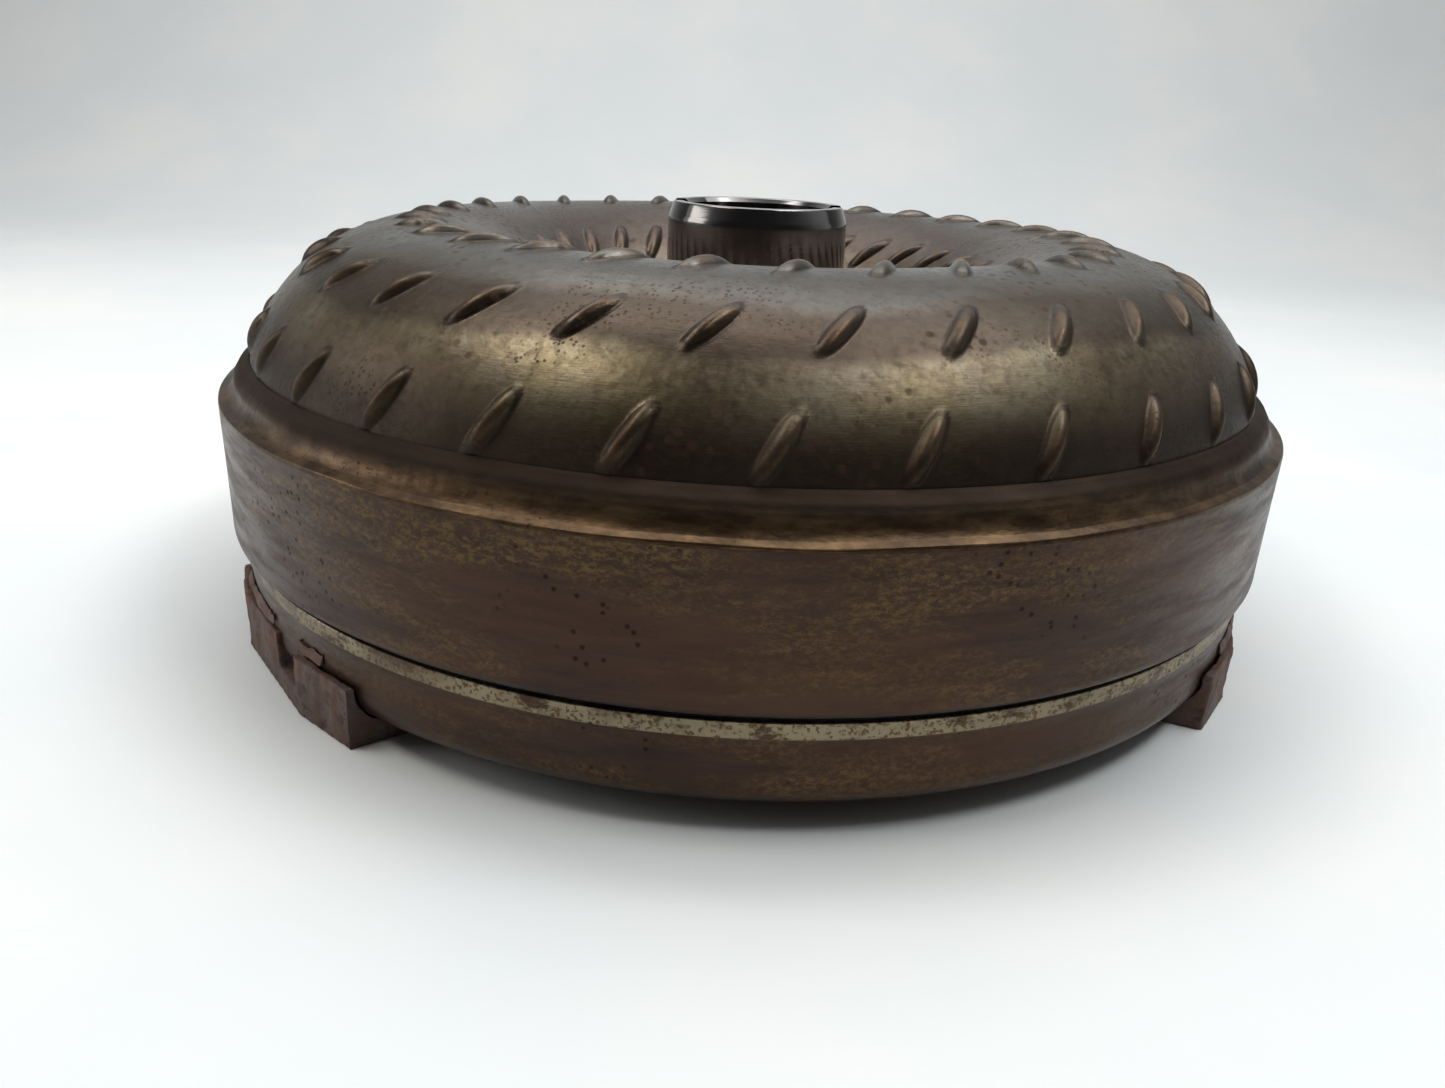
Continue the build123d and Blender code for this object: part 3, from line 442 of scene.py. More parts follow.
def lug_finish():
    """Forged and rusted steel, with greyer scuffs and darker pits."""
    f = Finish("rusty_lug")
    base = f.blend(f.rise(f.noise(110, 6, 0.65), 0.35, 0.68), colour("rust"), (0.105, 0.085, 0.075, 1))
    base = f.blend(f.rise(f.noise(260, 5, 0.7), 0.52, 0.66), base, (0.05, 0.022, 0.014, 1))
    normal = f.bump(f.noise(300, 6, 0.7), 0.0006, 0.8)
    return f.done(base, 0.35, f.rise(f.noise(90, 4), 0.3, 0.7, 0.55, 0.8), normal)


def hub_finish():
    """Ground and polished hub steel with faint turning lines round it."""
    f = Finish("polished_hub")
    lines = f.noise(900, 2, 0.5, at=f.stretch(0.02, 0.02, 3))
    base = f.blend(f.rise(f.noise(60, 4), 0.4, 0.7), (0.20, 0.19, 0.185, 1), (0.13, 0.12, 0.115, 1))
    rough = f.rise(f.noise(120, 4), 0.35, 0.7, 0.10, 0.20)
    return f.done(base, 1.0, rough, f.bump(lines, 0.00003, 0.5))


def hidden_finish(name, base, other, metallic, rough, grain, depth):
    """Finish of an inner piece: two tones of one material, an oily variation of gloss, and its grain."""
    f = Finish(name)
    tone = f.blend(f.rise(f.noise(70, 5, 0.6), 0.36, 0.66), base, other)
    gloss = f.rise(f.noise(140, 4), 0.3, 0.7, rough, rough + 0.16)
    return f.done(tone, metallic, gloss, f.bump(f.noise(grain, 4, 0.6), depth, 0.6))


# ------------------------------------------------------------------ impeller shell
# each row of bumps: tilt from the crown, angle of one bump about Z, slant to the meridian, in degrees
TAB_ROWS = ((65.0, -87.47, 31.0), (34.0, -81.82, 38.0), (0.0, -73.20, 33.0), (-40.0, -62.77, 31.0))
SHELL_START = 78.0
SLOPE_TILT = -55.86
SHELL_FOOT_Z = 44.0
HUB_HOLE_R = 22.7
FLOOR_BEND_R = 4.0
BUMP_ZONE = 10.5
TIGHT_START = 76.2


def shell_tilts():
    """Tilts from the crown for the rows of the outer surface: close together where the bumps are."""
    parts = [np.linspace(SHELL_START, TIGHT_START, 2)]
    edge = TIGHT_START
    for tilt, _, _ in TAB_ROWS:
        high, low = min(tilt + BUMP_ZONE, 75.5), tilt - BUMP_ZONE
        gap = np.arange(edge, high, -3.0)[1:]
        parts += [gap, np.linspace(high, low, 17)]
        edge = low
    parts.append(np.linspace(edge, SLOPE_TILT, 4)[1:])
    return np.concatenate(parts)


def shell_columns():
    """Fractions of the pitch for one sector's columns: close together across the bump."""
    fine = np.linspace(-0.2, 0.2, 20)
    return np.concatenate([fine, np.linspace(0.2, 0.8, 12)[1:-1]])


def row_angle(tilt):
    """Angle about Z of the columns' middle line: a Hermite cubic between rows, whose ends have each row's
    own angle and slant, and a straight run before the first row and after the last."""
    knots = np.array([row[0] for row in TAB_ROWS])
    angle = np.array([row[1] for row in TAB_ROWS])
    reach = TORUS_R + SHELL_R * np.sin(np.radians(knots))
    slope = -np.tan(np.radians([row[2] for row in TAB_ROWS])) * SHELL_R / reach
    out = np.empty_like(tilt)
    for k in range(len(knots) - 1):
        high, low = knots[k], knots[k + 1]
        inside = (tilt <= high) & (tilt > low)
        t = (tilt[inside] - high) / (low - high)
        span = low - high
        out[inside] = ((2 * t**3 - 3 * t**2 + 1) * angle[k] + (t**3 - 2 * t**2 + t) * span * slope[k]
                       + (3 * t**2 - 2 * t**3) * angle[k + 1] + (t**3 - t**2) * span * slope[k + 1])
    before, after = tilt > knots[0], tilt <= knots[-1]
    out[before] = angle[0] + (tilt[before] - knots[0]) * slope[0]
    out[after] = angle[-1] + (tilt[after] - knots[-1]) * slope[-1]
    return out


def tab_field(tilt, angle):
    """Height share of the bumps, 1 on a ridge: an oval about each bump's own line, 1 - d^2.2 where d is
    the distance along over half its length and across over its half width, put together as a 2.4-norm.
    Along the meridian it is shell radius times tilt, and across it radius times angle."""
    field = np.zeros(np.broadcast(tilt, angle).shape)
    half_length = sizes().tab_length / 2 / MM
    half_width = sizes().tab_half_width / MM
    for row_tilt, row_angle_0, slant in TAB_ROWS:
        reach = TORUS_R + SHELL_R * math.sin(math.radians(row_tilt))
        up = -np.radians(tilt - row_tilt) * SHELL_R
        turn = (angle - row_angle_0 + PITCH / 2) % PITCH - PITCH / 2
        side = np.radians(turn) * reach
        c, s = math.cos(math.radians(slant)), math.sin(math.radians(slant))
        along = np.abs(up * c + side * s) / half_length
        across = np.abs(side * c - up * s) / half_width
        distance = (along**2.4 + across**2.4) ** (1 / 2.4)
        field = np.maximum(field, np.clip(1 - distance**2.2, 0, 1))
    return field


def build_shell():
    """Outer surface: radius TORUS_R + (SHELL_R + bump) sin tilt, height TORUS_Z + (SHELL_R + bump) cos
    tilt, on columns that follow the bumps' slants. It closes through the recess floor and the plain inner
    side."""
    tilt = shell_tilts()[:, None]
    sector = shell_columns() * PITCH
    turns = np.arange(TABS_PER_ROW) * PITCH
    column = (turns[:, None] + sector[None, :]).ravel()[None, :]
    angle = row_angle(tilt[:, 0])[:, None] + column
    tab = tab_field(tilt, angle)
    theta = np.radians(angle)
    dents = 0.12 * waves(theta, 5, 6, 2, 9) * np.cos(np.radians(tilt * 2.3))
    lift = SHELL_R + tab * sizes().tab_height / MM + dents
    r = TORUS_R + lift * np.sin(np.radians(tilt))
    z = TORUS_Z + lift * np.cos(np.radians(tilt))
    slope_r = TORUS_R + SHELL_R * math.sin(math.radians(SLOPE_TILT))
    inner = SHELL_R - SHELL_T
    flange_in = FLANGE_Z - FLANGE_T
    inner_end = math.asin((flange_in - TORUS_Z) / inner)
    bend_r = slope_r - 6.1
    plain = np.concatenate([
        arc((bend_r, FLANGE_Z + FLOOR_BEND_R), FLOOR_BEND_R, -30, -90, 5)[1:],
        line((bend_r, FLANGE_Z), (HUB_HOLE_R, FLANGE_Z), 3),
        line((HUB_HOLE_R, FLANGE_Z), (HUB_HOLE_R, flange_in), 1),
        line((HUB_HOLE_R, flange_in), (TORUS_R - inner * math.cos(inner_end), flange_in), 1),
        arc((TORUS_R, TORUS_Z), inner, 180 - math.degrees(inner_end), 0, 9),
        line((TORUS_R + inner, TORUS_Z), (TORUS_R + inner, SHELL_FOOT_Z), 1),
        line((TORUS_R + inner, SHELL_FOOT_Z), (MOUTH_R, SHELL_FOOT_Z), 1),
        line((MOUTH_R, SHELL_FOOT_Z), (MOUTH_R, TORUS_Z + 1), 1),
    ])
    last, first = angle[-1:], angle[:1]
    share = np.linspace(0, 1, len(plain))[:, None]
    plain_angle = np.radians(last * (1 - share) + first * share)
    r = np.concatenate([r, plain[:, :1] + 0 * plain_angle])
    z = np.concatenate([z, plain[:, 1:] + 0 * plain_angle])
    theta = np.concatenate([theta, plain_angle])
    tab = np.concatenate([tab, 0 * plain_angle])
    piece = grid_object("impeller_shell_pressing", rounded(r, theta, z), 50, {"tab": tab})
    return finish_piece(piece, shell_finish(), "shell_steel", "impeller_shell")


# ------------------------------------------------------------------ closing weld
WELD_TOP_Z = 63.4
LIP_R = 0.85
RUN_R = 5.6
RUN_CENTRE = (130.9, 60.8)


def build_closing_weld():
    """Lathe of the bead: a convex lip over the cover's rim, a concave run up to the shell. The lip's height
    and the run's foot wander with a few waves of the angle, and fine ripples follow the torch."""
    toe_r = TORUS_R + math.sqrt(SHELL_R**2 - (WELD_TOP_Z - TORUS_Z) ** 2)
    root_r = MOUTH_R - 0.5
    loop = np.concatenate([
        line((root_r, DRUM_TOP_Z), (DRUM_R - 0.02, DRUM_TOP_Z), 3),
        line((DRUM_R - 0.02, DRUM_TOP_Z), (DRUM_R - 0.05, DRUM_TOP_Z + 0.1), 2),
        arc((DRUM_R - LIP_R - 0.05, DRUM_TOP_Z + 0.15), LIP_R, 0, 52, 8),
        arc(RUN_CENTRE, RUN_R, 228, 190, 14),
        line((125.3, 60.3), (124.3, 61.9), 4),
        line((124.3, 61.9), (toe_r + 0.5, WELD_TOP_Z - 0.1), 4),
        line((toe_r + 0.4, WELD_TOP_Z + 0.2), (toe_r - 0.6, WELD_TOP_Z), 2),
        line((toe_r - 0.6, WELD_TOP_Z - 0.5), (root_r, DRUM_TOP_Z + 1), 4),
    ])

    def push(r, z, theta):
        outside = smooth(r, MOUTH_R - 0.2, MOUTH_R + 1.6)
        lip = outside * smooth(z, DRUM_TOP_Z + 0.2, DRUM_TOP_Z + 1.0) * (1 - smooth(z, 58.5, 61.0))
        r = r + 0.08 * waves(theta, 11, 9, 3, 40) * lip
        z = z + 0.16 * waves(theta, 12, 9, 2, 24) * lip
        ripple = sizes().weld_ripple / MM * 0.5 * waves(theta, 13, 8, 120, 340)
        r = r + ripple * outside * smooth(z, 57, 58.5)
        return np.minimum(r, DRUM_R), z

    piece = lathe("closing_weld_bead", loop, 1000, push, 60)
    return finish_piece(piece, weld_finish(), "weld_bead", "closing_weld")


# ------------------------------------------------------------------ front cover
COVER_T = 4.0
CORNER_R = 6.0
STEP_Z = 27.7
PILOT_HOLE_R = 12.05
RAISED_Z = 9.0
RAISED_R = 66.5
RAISED_INSIDE_R = 71.0
FACE_START_R = 78.0
INNER_CORNER_R = 4.0
GROOVE_R = 0.45


def build_cover():
    """Lathe of the cover: pressed face with a raised centre, rounded corner, machined band with its groove,
    a full round step out to the drum wall, and the plain inside."""
    step = DRUM_R - WALL_R
    face_in = FACE_Z + COVER_T
    raised_in = RAISED_Z + COVER_T
    wall_in = WALL_R - COVER_T
    rim_in = MOUTH_R + 0.05
    loop = np.concatenate([
        line((PILOT_HOLE_R, RAISED_Z), (RAISED_R, RAISED_Z), 5),
        arc((RAISED_R, RAISED_Z - 3.0), 3.0, 90, 60, 4),
        line((68.5, 8.6), (75.2, 5.25), 3),
        arc((77.6, FACE_Z + 4.6), 4.6, 240, 270, 4),
        line((FACE_START_R + 0.6, FACE_Z), (WALL_R - CORNER_R, FACE_Z), 5),
        arc((WALL_R - CORNER_R, FACE_Z + CORNER_R), CORNER_R, -90, 0, 14),
        line((WALL_R, FACE_Z + CORNER_R), (WALL_R, BAND_FOOT - 0.5), 7),
        arc((BAND_R - 0.3, BAND_FOOT + 0.2), 0.3, -90, 0, 4),
        line((BAND_R, BAND_FOOT + 0.2), (BAND_R, BAND_TOP - 0.25), 4),
        arc((BAND_R - 0.25, BAND_TOP - 0.25), 0.25, 0, 90, 4),
        arc((WALL_R + 0.05, BAND_TOP + GROOVE_R), GROOVE_R, -90, -270, 5),
        arc((WALL_R, STEP_Z), step, -90, 0, 12),
        line((DRUM_R, STEP_Z), (DRUM_R, DRUM_TOP_Z), 16),
        line((DRUM_R, DRUM_TOP_Z), (rim_in, DRUM_TOP_Z), 2),
        line((rim_in, DRUM_TOP_Z), (rim_in, STEP_Z + 3), 3),
        line((wall_in, STEP_Z), (wall_in, face_in + INNER_CORNER_R), 3),
        arc((wall_in - INNER_CORNER_R, face_in + INNER_CORNER_R), INNER_CORNER_R, 0, -90, 5),
        line((wall_in - INNER_CORNER_R, face_in), (FACE_START_R, face_in), 3),
        line((FACE_START_R, face_in), (RAISED_INSIDE_R, raised_in), 2),
        line((RAISED_INSIDE_R, raised_in), (PILOT_HOLE_R, raised_in), 3),
    ])

    def push(r, z, theta):
        outer = smooth(z, 26, 30) * (1 - smooth(z, 44, 52)) * smooth(r, DRUM_R - 2, DRUM_R - 0.5)
        r = r - 0.10 * outer * (0.5 + 0.5 * waves(theta, 21, 7, 2, 14))
        return np.minimum(r, DRUM_R), z

    piece = lathe("front_cover_drum", loop, 900, push, 30)
    return finish_piece(piece, cover_finish(), "cover_steel", "front_cover")


# ------------------------------------------------------------------ lugs and their welds
FLAT_FOOT_Z = 0.6
LUGS = 3


def fractal(points, scale, octaves, seed):
    """Sum of sines of random directions, each octave twice as fine and half as high, about -1..1."""
    rng = np.random.default_rng(seed)
    total = np.zeros(len(points))
    for octave in range(octaves):
        for _ in range(5):
            direction = rng.normal(size=3)
            direction *= scale * 2**octave / np.linalg.norm(direction)
            total += np.sin(points @ direction + rng.uniform(0, TWO_PI)) / 2**octave
    return total / 4


def roughened(name, node, voxel, depth, seed, smoothing):
    """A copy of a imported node's solid, remeshed finely and moved along its normals by a fractal of the
    place, so that it looks forged or welded. It sinks by the depth first, to stay inside its solid, and
    its foot stays flat."""
    mesh = frame["nodes"][node].data.copy()
    mesh.materials.clear()
    piece = bpy.data.objects.new(name, mesh)
    bpy.context.scene.collection.objects.link(piece)
    merge = piece.modifiers.new("merge", "WELD")
    merge.merge_threshold = 1e-6
    remesh = piece.modifiers.new("remesh", "REMESH")
    remesh.mode = "VOXEL"
    remesh.voxel_size = voxel * MM
    soften = piece.modifiers.new("soften", "SMOOTH")
    soften.iterations = smoothing
    baked = bpy.data.meshes.new_from_object(piece.evaluated_get(bpy.context.evaluated_depsgraph_get()))
    piece.modifiers.clear()
    piece.data = baked
    count = len(baked.vertices)
    co = np.empty(count * 3, np.float32)
    normal = np.empty(count * 3, np.float32)
    baked.vertices.foreach_get("co", co)
    baked.vertex_normals.foreach_get("vector", normal)
    co, normal = co.reshape(-1, 3), normal.reshape(-1, 3)
    push = (fractal(co / MM, 0.55, 4, seed) - 1.0) * depth * MM
    push[co[:, 2] < FLAT_FOOT_Z * MM] = 0
    co = co + normal * push[:, None]
    co[:, 2] = np.maximum(co[:, 2], 0)
    baked.vertices.foreach_set("co", co.astype(np.float32).ravel())
    baked.update()
    baked.shade_smooth()
    return piece


def build_lugs():
    """The lugs as forgings and their weld beads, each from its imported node."""
    material = lug_finish()
    for number in range(1, LUGS + 1):
        piece = roughened(f"forged_lug_{number}", f"mounting_lug_{number}", 0.55, 0.35, 30 + number, 8)
        finish_piece(piece, material, "lug_steel", f"mounting_lug_{number}")
    piece = roughened("lug_weld_beads", "lug_welds", 0.45, 0.25, 40, 20)
    finish_piece(piece, material, "weld_bead", "lug_welds")


# ------------------------------------------------------------------ pump hub
HUB_R = 22.6
HUB_BORE_R = 18.0
NOTCH_HALF = 4.0
NOTCH_FLOOR_Z = HUB_TOP_Z - 9.0
SEAT_Z = FLANGE_Z + 0.02
HUB_STEP_Z = FLANGE_Z + 3.5
RIM_ROUND_R = 0.4
HUB_BEAD_R = 2.8


def build_hub():
    """Turned hub with two drive notches. A column's angle is the angle of the notch's straight side at each
    radius, asin(half width / radius), and inside a notch every point above its floor is brought down to it.
    Columns come in pairs at the notch sides, one on the rim and one in the notch, so the sides stand up."""
    low = FLANGE_Z - FLANGE_T
    loop = np.concatenate([
        line((HUB_BORE_R, low), (HUB_R, low), 1),
        line((HUB_R, low), (HUB_R, SEAT_Z), 1),
        line((HUB_R, SEAT_Z), (HUB_FOOT_R, SEAT_Z), 1),
        line((HUB_FOOT_R, SEAT_Z), (HUB_FOOT_R, HUB_STEP_Z - 0.6), 2),
        arc((HUB_FOOT_R - 0.6, HUB_STEP_Z - 0.6), 0.6, 0, 90, 4),
        line((HUB_FOOT_R - 0.6, HUB_STEP_Z), (HUB_R + 1.2, HUB_STEP_Z), 3),
        arc((HUB_R + 1.2, HUB_STEP_Z + 1.2), 1.2, -90, -180, 5),
        line((HUB_R, HUB_STEP_Z + 1.2), (HUB_R, NOTCH_FLOOR_Z), 5),
        line((HUB_R, NOTCH_FLOOR_Z), (HUB_R, 95.0), 5),
        line((HUB_R, 95.0), (HUB_R - 1.15, HUB_TOP_Z - 0.35), 5),
        arc((HUB_R - 1.55, HUB_TOP_Z - RIM_ROUND_R), RIM_ROUND_R, 15, 90, 4),
        line((HUB_R - 1.55, HUB_TOP_Z), (HUB_BORE_R + 1.2, HUB_TOP_Z), 3),
        arc((HUB_BORE_R + 1.2, HUB_TOP_Z - RIM_ROUND_R), RIM_ROUND_R, 90, 150, 3),
        line((HUB_BORE_R + 0.85, HUB_TOP_Z - 0.2), (HUB_BORE_R, HUB_TOP_Z - 1.1), 2),
        line((HUB_BORE_R, HUB_TOP_Z - 1.1), (HUB_BORE_R, NOTCH_FLOOR_Z), 5),
        line((HUB_BORE_R, NOTCH_FLOOR_Z), (HUB_BORE_R, low), 4),
    ])
    r, z = loop[:, :1], loop[:, 1:]
    across = np.linspace(-NOTCH_HALF, NOTCH_HALF, 9)[None, :]
    share = np.linspace(0, 1, 120)[None, :]
    side = np.arcsin(np.minimum(NOTCH_HALF / r, 1))
    half_turn = [np.arcsin(across / r), side + share * (math.pi - 2 * side)]
    theta = np.concatenate([start + angles for start in (0.0, math.pi) for angles in half_turn], 1)
    cut = np.tile(np.arange(across.size + share.size) < across.size, 2)[None, :]
    z = np.where(cut, np.minimum(z, NOTCH_FLOOR_Z), z)
    r = r + 0 * theta
    piece = grid_object("turned_pump_hub", rounded(r, theta, z), 30)
    finish_piece(piece, hub_finish(), "hub_steel", "pump_hub")
    loop = np.concatenate([
        line((HUB_FOOT_R, FLANGE_Z + HUB_BEAD_R), (HUB_FOOT_R, SEAT_Z), 2),
        line((HUB_FOOT_R, SEAT_Z), (HUB_FOOT_R + HUB_BEAD_R, SEAT_Z), 2),
        arc((HUB_FOOT_R, SEAT_Z), HUB_BEAD_R, 0, 90, 8),
    ])

    def push(r, z, theta):
        swell = (r - HUB_FOOT_R) / (HUB_BEAD_R + 0.2)
        return r + 0.15 * swell * waves(theta, 51, 8, 20, 90), z

    weld = lathe("hub_weld_bead", loop, 400, push, 60)
    finish_piece(weld, weld_finish(), "weld_bead", "hub_weld")


# ------------------------------------------------------------------ inner pieces, finish by slot
HIDDEN = {
    # slot: tone, second tone, metallic, roughness, grain, depth
    "machined_steel": ((0.50, 0.49, 0.47, 1), (0.36, 0.35, 0.33, 1), 1.0, 0.22, 900, 0.00003),
    "blade_steel": ((0.42, 0.40, 0.36, 1), (0.28, 0.25, 0.21, 1), 0.95, 0.30, 500, 0.00006),
    "plate_steel": ((0.34, 0.34, 0.35, 1), (0.22, 0.21, 0.20, 1), 0.95, 0.32, 500, 0.00006),
    "spring_steel": ((0.24, 0.25, 0.29, 1), (0.16, 0.15, 0.15, 1), 0.95, 0.28, 1200, 0.00004),
    "bearing_steel": ((0.62, 0.62, 0.63, 1), (0.50, 0.50, 0.50, 1), 1.0, 0.12, 1500, 0.00001),
    "cast_aluminium": ((0.60, 0.60, 0.59, 1), (0.46, 0.45, 0.43, 1), 0.9, 0.42, 700, 0.00020),
    "friction_paper": ((0.25, 0.18, 0.11, 1), (0.15, 0.10, 0.06, 1), 0.0, 0.75, 1600, 0.00015),
    "seal_plastic": ((0.05, 0.045, 0.04, 1), (0.08, 0.07, 0.06, 1), 0.0, 0.40, 900, 0.00003),
    "washer_plastic": ((0.32, 0.22, 0.11, 1), (0.22, 0.14, 0.07, 1), 0.0, 0.45, 900, 0.00004),
}


def finish_inner_pieces():
    """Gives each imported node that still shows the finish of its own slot."""
    materials = {slot: hidden_finish(slot + "_finish", *values) for slot, values in HIDDEN.items()}
    slots = {entry["node"]: entry["material_slot"] for entry in frame["record"]["subparts"]}
    for name, node in frame["nodes"].items():
        if slots[name] in materials and not node.hide_render:
            node.data.materials.clear()
            node.data.materials.append(materials[slots[name]])


# ------------------------------------------------------------------ floor, light and camera
BEND_Y = 0.75
BEND_R = 0.55
CAMERA_TURN = (math.radians(1.0), math.radians(-21.33), math.radians(-2.70))
CAMERA_LENS = 26.75
LIGHTS = {
    # name: place, target, width, height, power, tint
    "overhead": ((0.1, 0.30, 0.95), (0, 0, 0.05), 1.3, 0.7, 6.4, (0.96, 0.98, 1.0)),
    "ceiling_right": ((0.42, -0.22, 0.85), (0.05, 0, 0.05), 0.45, 0.16, 3.0, (0.94, 0.98, 1.0)),
    "ceiling_left": ((-0.50, -0.18, 0.85), (-0.05, 0, 0.05), 0.45, 0.16, 2.4, (1.0, 0.98, 0.94)),
    "left_side": ((-1.0, -0.1, 0.35), (0, 0, 0.05), 0.5, 0.4, 2.0, (1.0, 0.98, 0.95)),
    "wall_wash": ((0.0, 0.25, 1.5), (0, 1.3, 0.4), 2.5, 0.4, 13.0, (0.98, 0.99, 1.0)),
}


def floor_finish():
    """Matt pale paint, hardly mottled."""
    f = Finish("pale_floor")
    base = f.blend(f.rise(f.noise(5, 4), 0.35, 0.7), (0.70, 0.72, 0.72, 1), (0.76, 0.76, 0.74, 1))
    return f.done(base, 0.0, 0.55, f.bump(f.noise(120, 3), 0.0004, 0.25))


def build_floor():
    """Floor that curves up into a wall behind: flat to y = BEND_Y, a quarter circle, then straight up."""
    half = 4.0
    quarter = np.radians(np.linspace(0, 90, 25))
    y = np.concatenate([[-4.0, -1.0], BEND_Y + BEND_R * np.sin(quarter), [BEND_Y + BEND_R]])
    z = np.concatenate([[0.0, 0.0], BEND_R * (1 - np.cos(quarter)), [4.0]])
    rows = len(y)
    x = np.tile([-half, half], rows)
    points = np.stack([x, np.repeat(y, 2), np.repeat(z, 2)], 1)
    k = 2 * np.arange(rows - 1)
    quads = np.stack([k, k + 1, k + 3, k + 2], 1)
    mesh = bpy.data.meshes.new("pale_floor")
    mesh.from_pydata(points.tolist(), [], quads.tolist())
    mesh.shade_smooth()
    floor = bpy.data.objects.new("pale_floor", mesh)
    bpy.context.scene.collection.objects.link(floor)
    mesh.materials.append(floor_finish())


def soft_light(name, place, target, width, height, power, tint):
    """An area light at place that faces target."""
    lamp = bpy.data.lights.new(name, "AREA")
    lamp.shape = "RECTANGLE"
    lamp.size, lamp.size_y = width, height
    lamp.energy = power
    lamp.color = tint
    holder = bpy.data.objects.new(name, lamp)
    holder.location = place
    holder.rotation_euler = (Vector(target) - Vector(place)).to_track_quat("-Z", "Y").to_euler()
    bpy.context.scene.collection.objects.link(holder)


def build_world():
    """Pale to the camera. As light it is bright overhead and behind, and dim on the viewer's side."""
    world = bpy.data.worlds.new("studio")
    world.use_nodes = True
    tree = world.node_tree
    tree.nodes.clear()
    coords = tree.nodes.new("ShaderNodeTexCoord")
    split = tree.nodes.new("ShaderNodeSeparateXYZ")
    tree.links.new(coords.outputs["Generated"], split.inputs[0])
    ramp = tree.nodes.new("ShaderNodeMapRange")
    ramp.interpolation_type = "SMOOTHSTEP"
    tree.links.new(split.outputs["Y"], ramp.inputs["Value"])
    for name, value in (("From Min", -0.75), ("From Max", 0.35), ("To Min", 0.035), ("To Max", 0.58)):
        ramp.inputs[name].default_value = value
    light = tree.nodes.new("ShaderNodeBackground")
    light.inputs["Color"].default_value = (0.93, 0.97, 1.0, 1)
    tree.links.new(ramp.outputs[0], light.inputs["Strength"])
    seen = tree.nodes.new("ShaderNodeBackground")
    seen.inputs["Color"].default_value = (0.86, 0.88, 0.88, 1)
    path = tree.nodes.new("ShaderNodeLightPath")
    mix = tree.nodes.new("ShaderNodeMixShader")
    tree.links.new(path.outputs["Is Camera Ray"], mix.inputs[0])
    tree.links.new(light.outputs[0], mix.inputs[1])
    tree.links.new(seen.outputs[0], mix.inputs[2])
    output = tree.nodes.new("ShaderNodeOutputWorld")
    tree.links.new(mix.outputs[0], output.inputs["Surface"])
    bpy.context.scene.world = world


def build_camera():
    """Wide lens over the near rim, turned about Z, tipped down about X and rolled about its own axis."""
    turn, pitch, roll = CAMERA_TURN
    camera = bpy.data.cameras.new("camera")
    camera.lens = CAMERA_LENS
    camera.sensor_width = 36.0
    camera.clip_start = 0.01
    holder = bpy.data.objects.new("camera", camera)
    bpy.context.scene.collection.objects.link(holder)
    aim = (Matrix.Rotation(turn, 4, "Z") @ Matrix.Rotation(pitch, 4, "X") @ Matrix.Rotation(roll, 4, "Y")
           @ Matrix.Rotation(math.radians(90), 4, "X"))
    holder.matrix_world = Matrix.Translation((0, -sizes().camera_distance, sizes().camera_height)) @ aim
    bpy.context.scene.camera = holder


def build_stage():
    """Floor, world, lamps and camera, with plain tones."""
    build_floor()
    build_world()
    for name, (place, target, width, height, power, tint) in LIGHTS.items():
        soft_light(name, place, target, width, height, power, tint)
    build_camera()
    view = bpy.context.scene.view_settings
    view.view_transform = "Standard"
    view.look = "None"


# ------------------------------------------------------------------ operators, panel and registering
class BuildShell(bpy.types.Operator):
    """Builds the embossed impeller shell"""
    bl_idname = "converter.build_shell"
    bl_label = "Impeller shell"

    def execute(self, context):
        build_shell()
        return {"FINISHED"}


class BuildWeld(bpy.types.Operator):
    """Builds the weld that closes the converter"""
    bl_idname = "converter.build_weld"
    bl_label = "Closing weld"

    def execute(self, context):
        build_closing_weld()
        return {"FINISHED"}


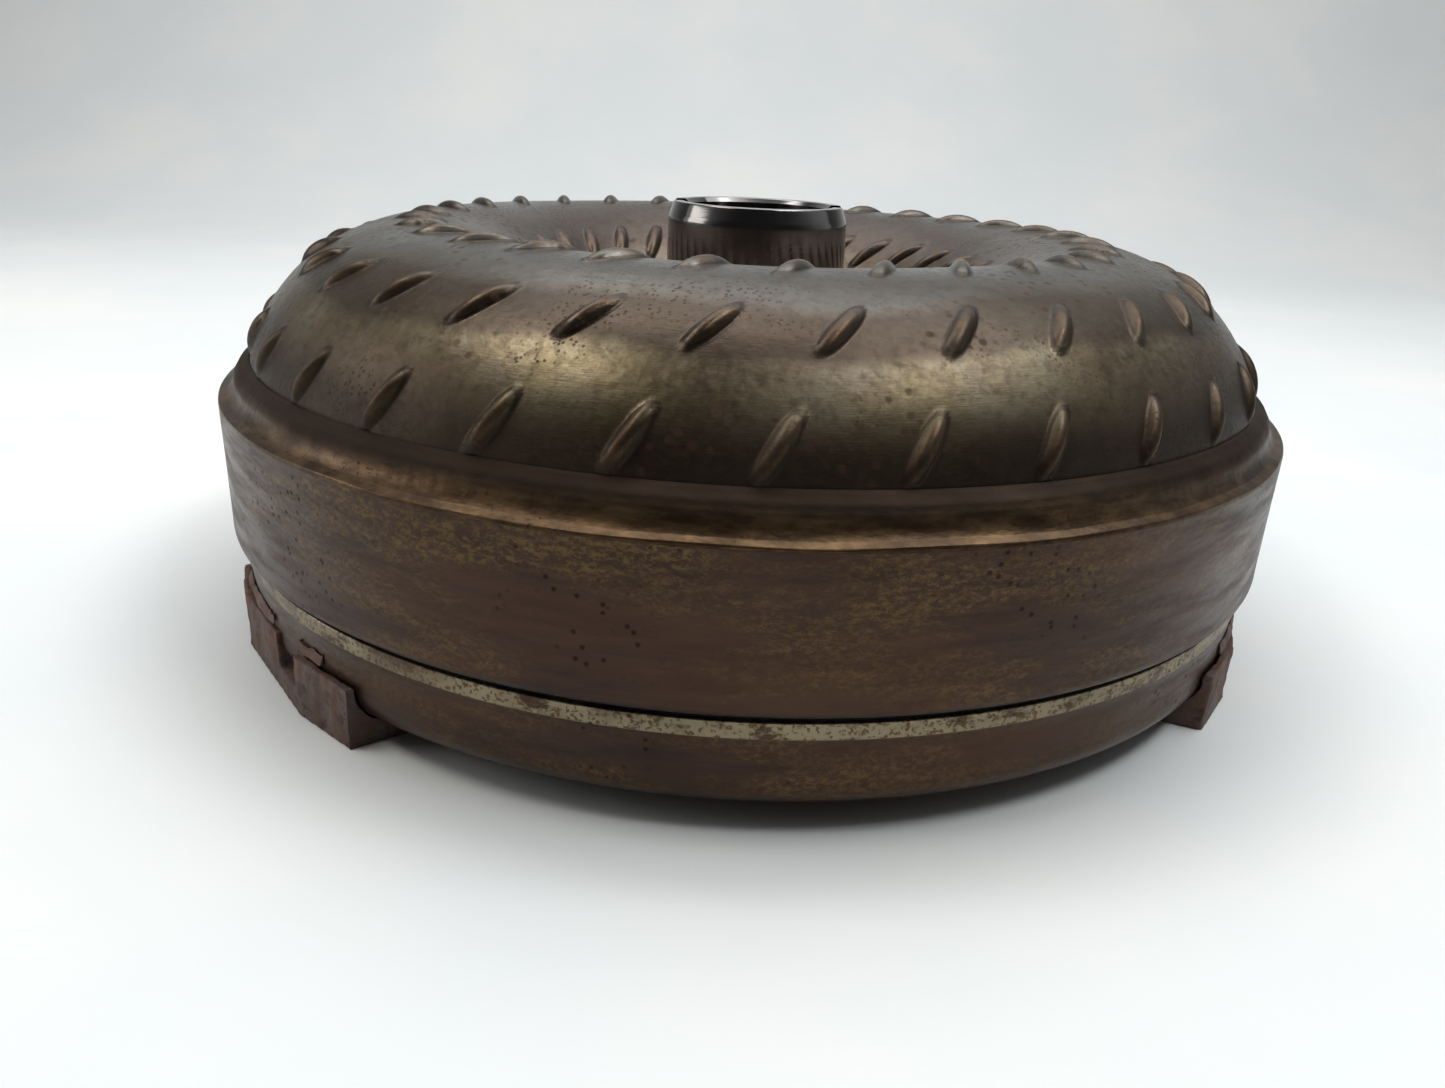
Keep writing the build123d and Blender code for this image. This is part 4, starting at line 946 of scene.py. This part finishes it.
class BuildCover(bpy.types.Operator):
    """Builds the front cover"""
    bl_idname = "converter.build_cover"
    bl_label = "Front cover"

    def execute(self, context):
        build_cover()
        return {"FINISHED"}


class BuildLugs(bpy.types.Operator):
    """Builds the mounting lugs and their welds"""
    bl_idname = "converter.build_lugs"
    bl_label = "Mounting lugs"

    def execute(self, context):
        build_lugs()
        return {"FINISHED"}


class BuildHub(bpy.types.Operator):
    """Builds the pump hub and its weld"""
    bl_idname = "converter.build_hub"
    bl_label = "Pump hub"

    def execute(self, context):
        build_hub()
        return {"FINISHED"}


class FinishInside(bpy.types.Operator):
    """Gives the inner pieces their finishes"""
    bl_idname = "converter.finish_inside"
    bl_label = "Inner pieces"

    def execute(self, context):
        finish_inner_pieces()
        return {"FINISHED"}


class BuildStage(bpy.types.Operator):
    """Builds the floor, the light and the camera"""
    bl_idname = "converter.build_stage"
    bl_label = "Stage"

    def execute(self, context):
        build_stage()
        return {"FINISHED"}


STEPS = (BuildStage, BuildShell, BuildWeld, BuildCover, BuildLugs, BuildHub, FinishInside)


class ConverterPanel(bpy.types.Panel):
    """Lists the converter's pieces and settings"""
    bl_idname = "VIEW3D_PT_converter"
    bl_label = "Torque converter"
    bl_space_type = "VIEW_3D"
    bl_region_type = "UI"
    bl_category = "Converter"

    def draw(self, context):
        for group in (context.scene.converter_sizes, context.scene.converter_colours):
            for name in group.__annotations__:
                self.layout.prop(group, name)
        for step in STEPS:
            self.layout.operator(step.bl_idname)


CLASSES = (ConverterSizes, ConverterColours, *STEPS, ConverterPanel)


def register():
    for cls in CLASSES:
        bpy.utils.register_class(cls)
    bpy.types.Scene.converter_sizes = bpy.props.PointerProperty(type=ConverterSizes)
    bpy.types.Scene.converter_colours = bpy.props.PointerProperty(type=ConverterColours)


def unregister():
    del bpy.types.Scene.converter_colours
    del bpy.types.Scene.converter_sizes
    for cls in reversed(CLASSES):
        bpy.utils.unregister_class(cls)


def main():
    register()
    for step in STEPS:
        category, operator = step.bl_idname.split(".")
        if getattr(getattr(bpy.ops, category), operator)() != {"FINISHED"}:
            raise RuntimeError(f"{step.bl_label} wasn't built")


if __name__ == "__main__":
    main()
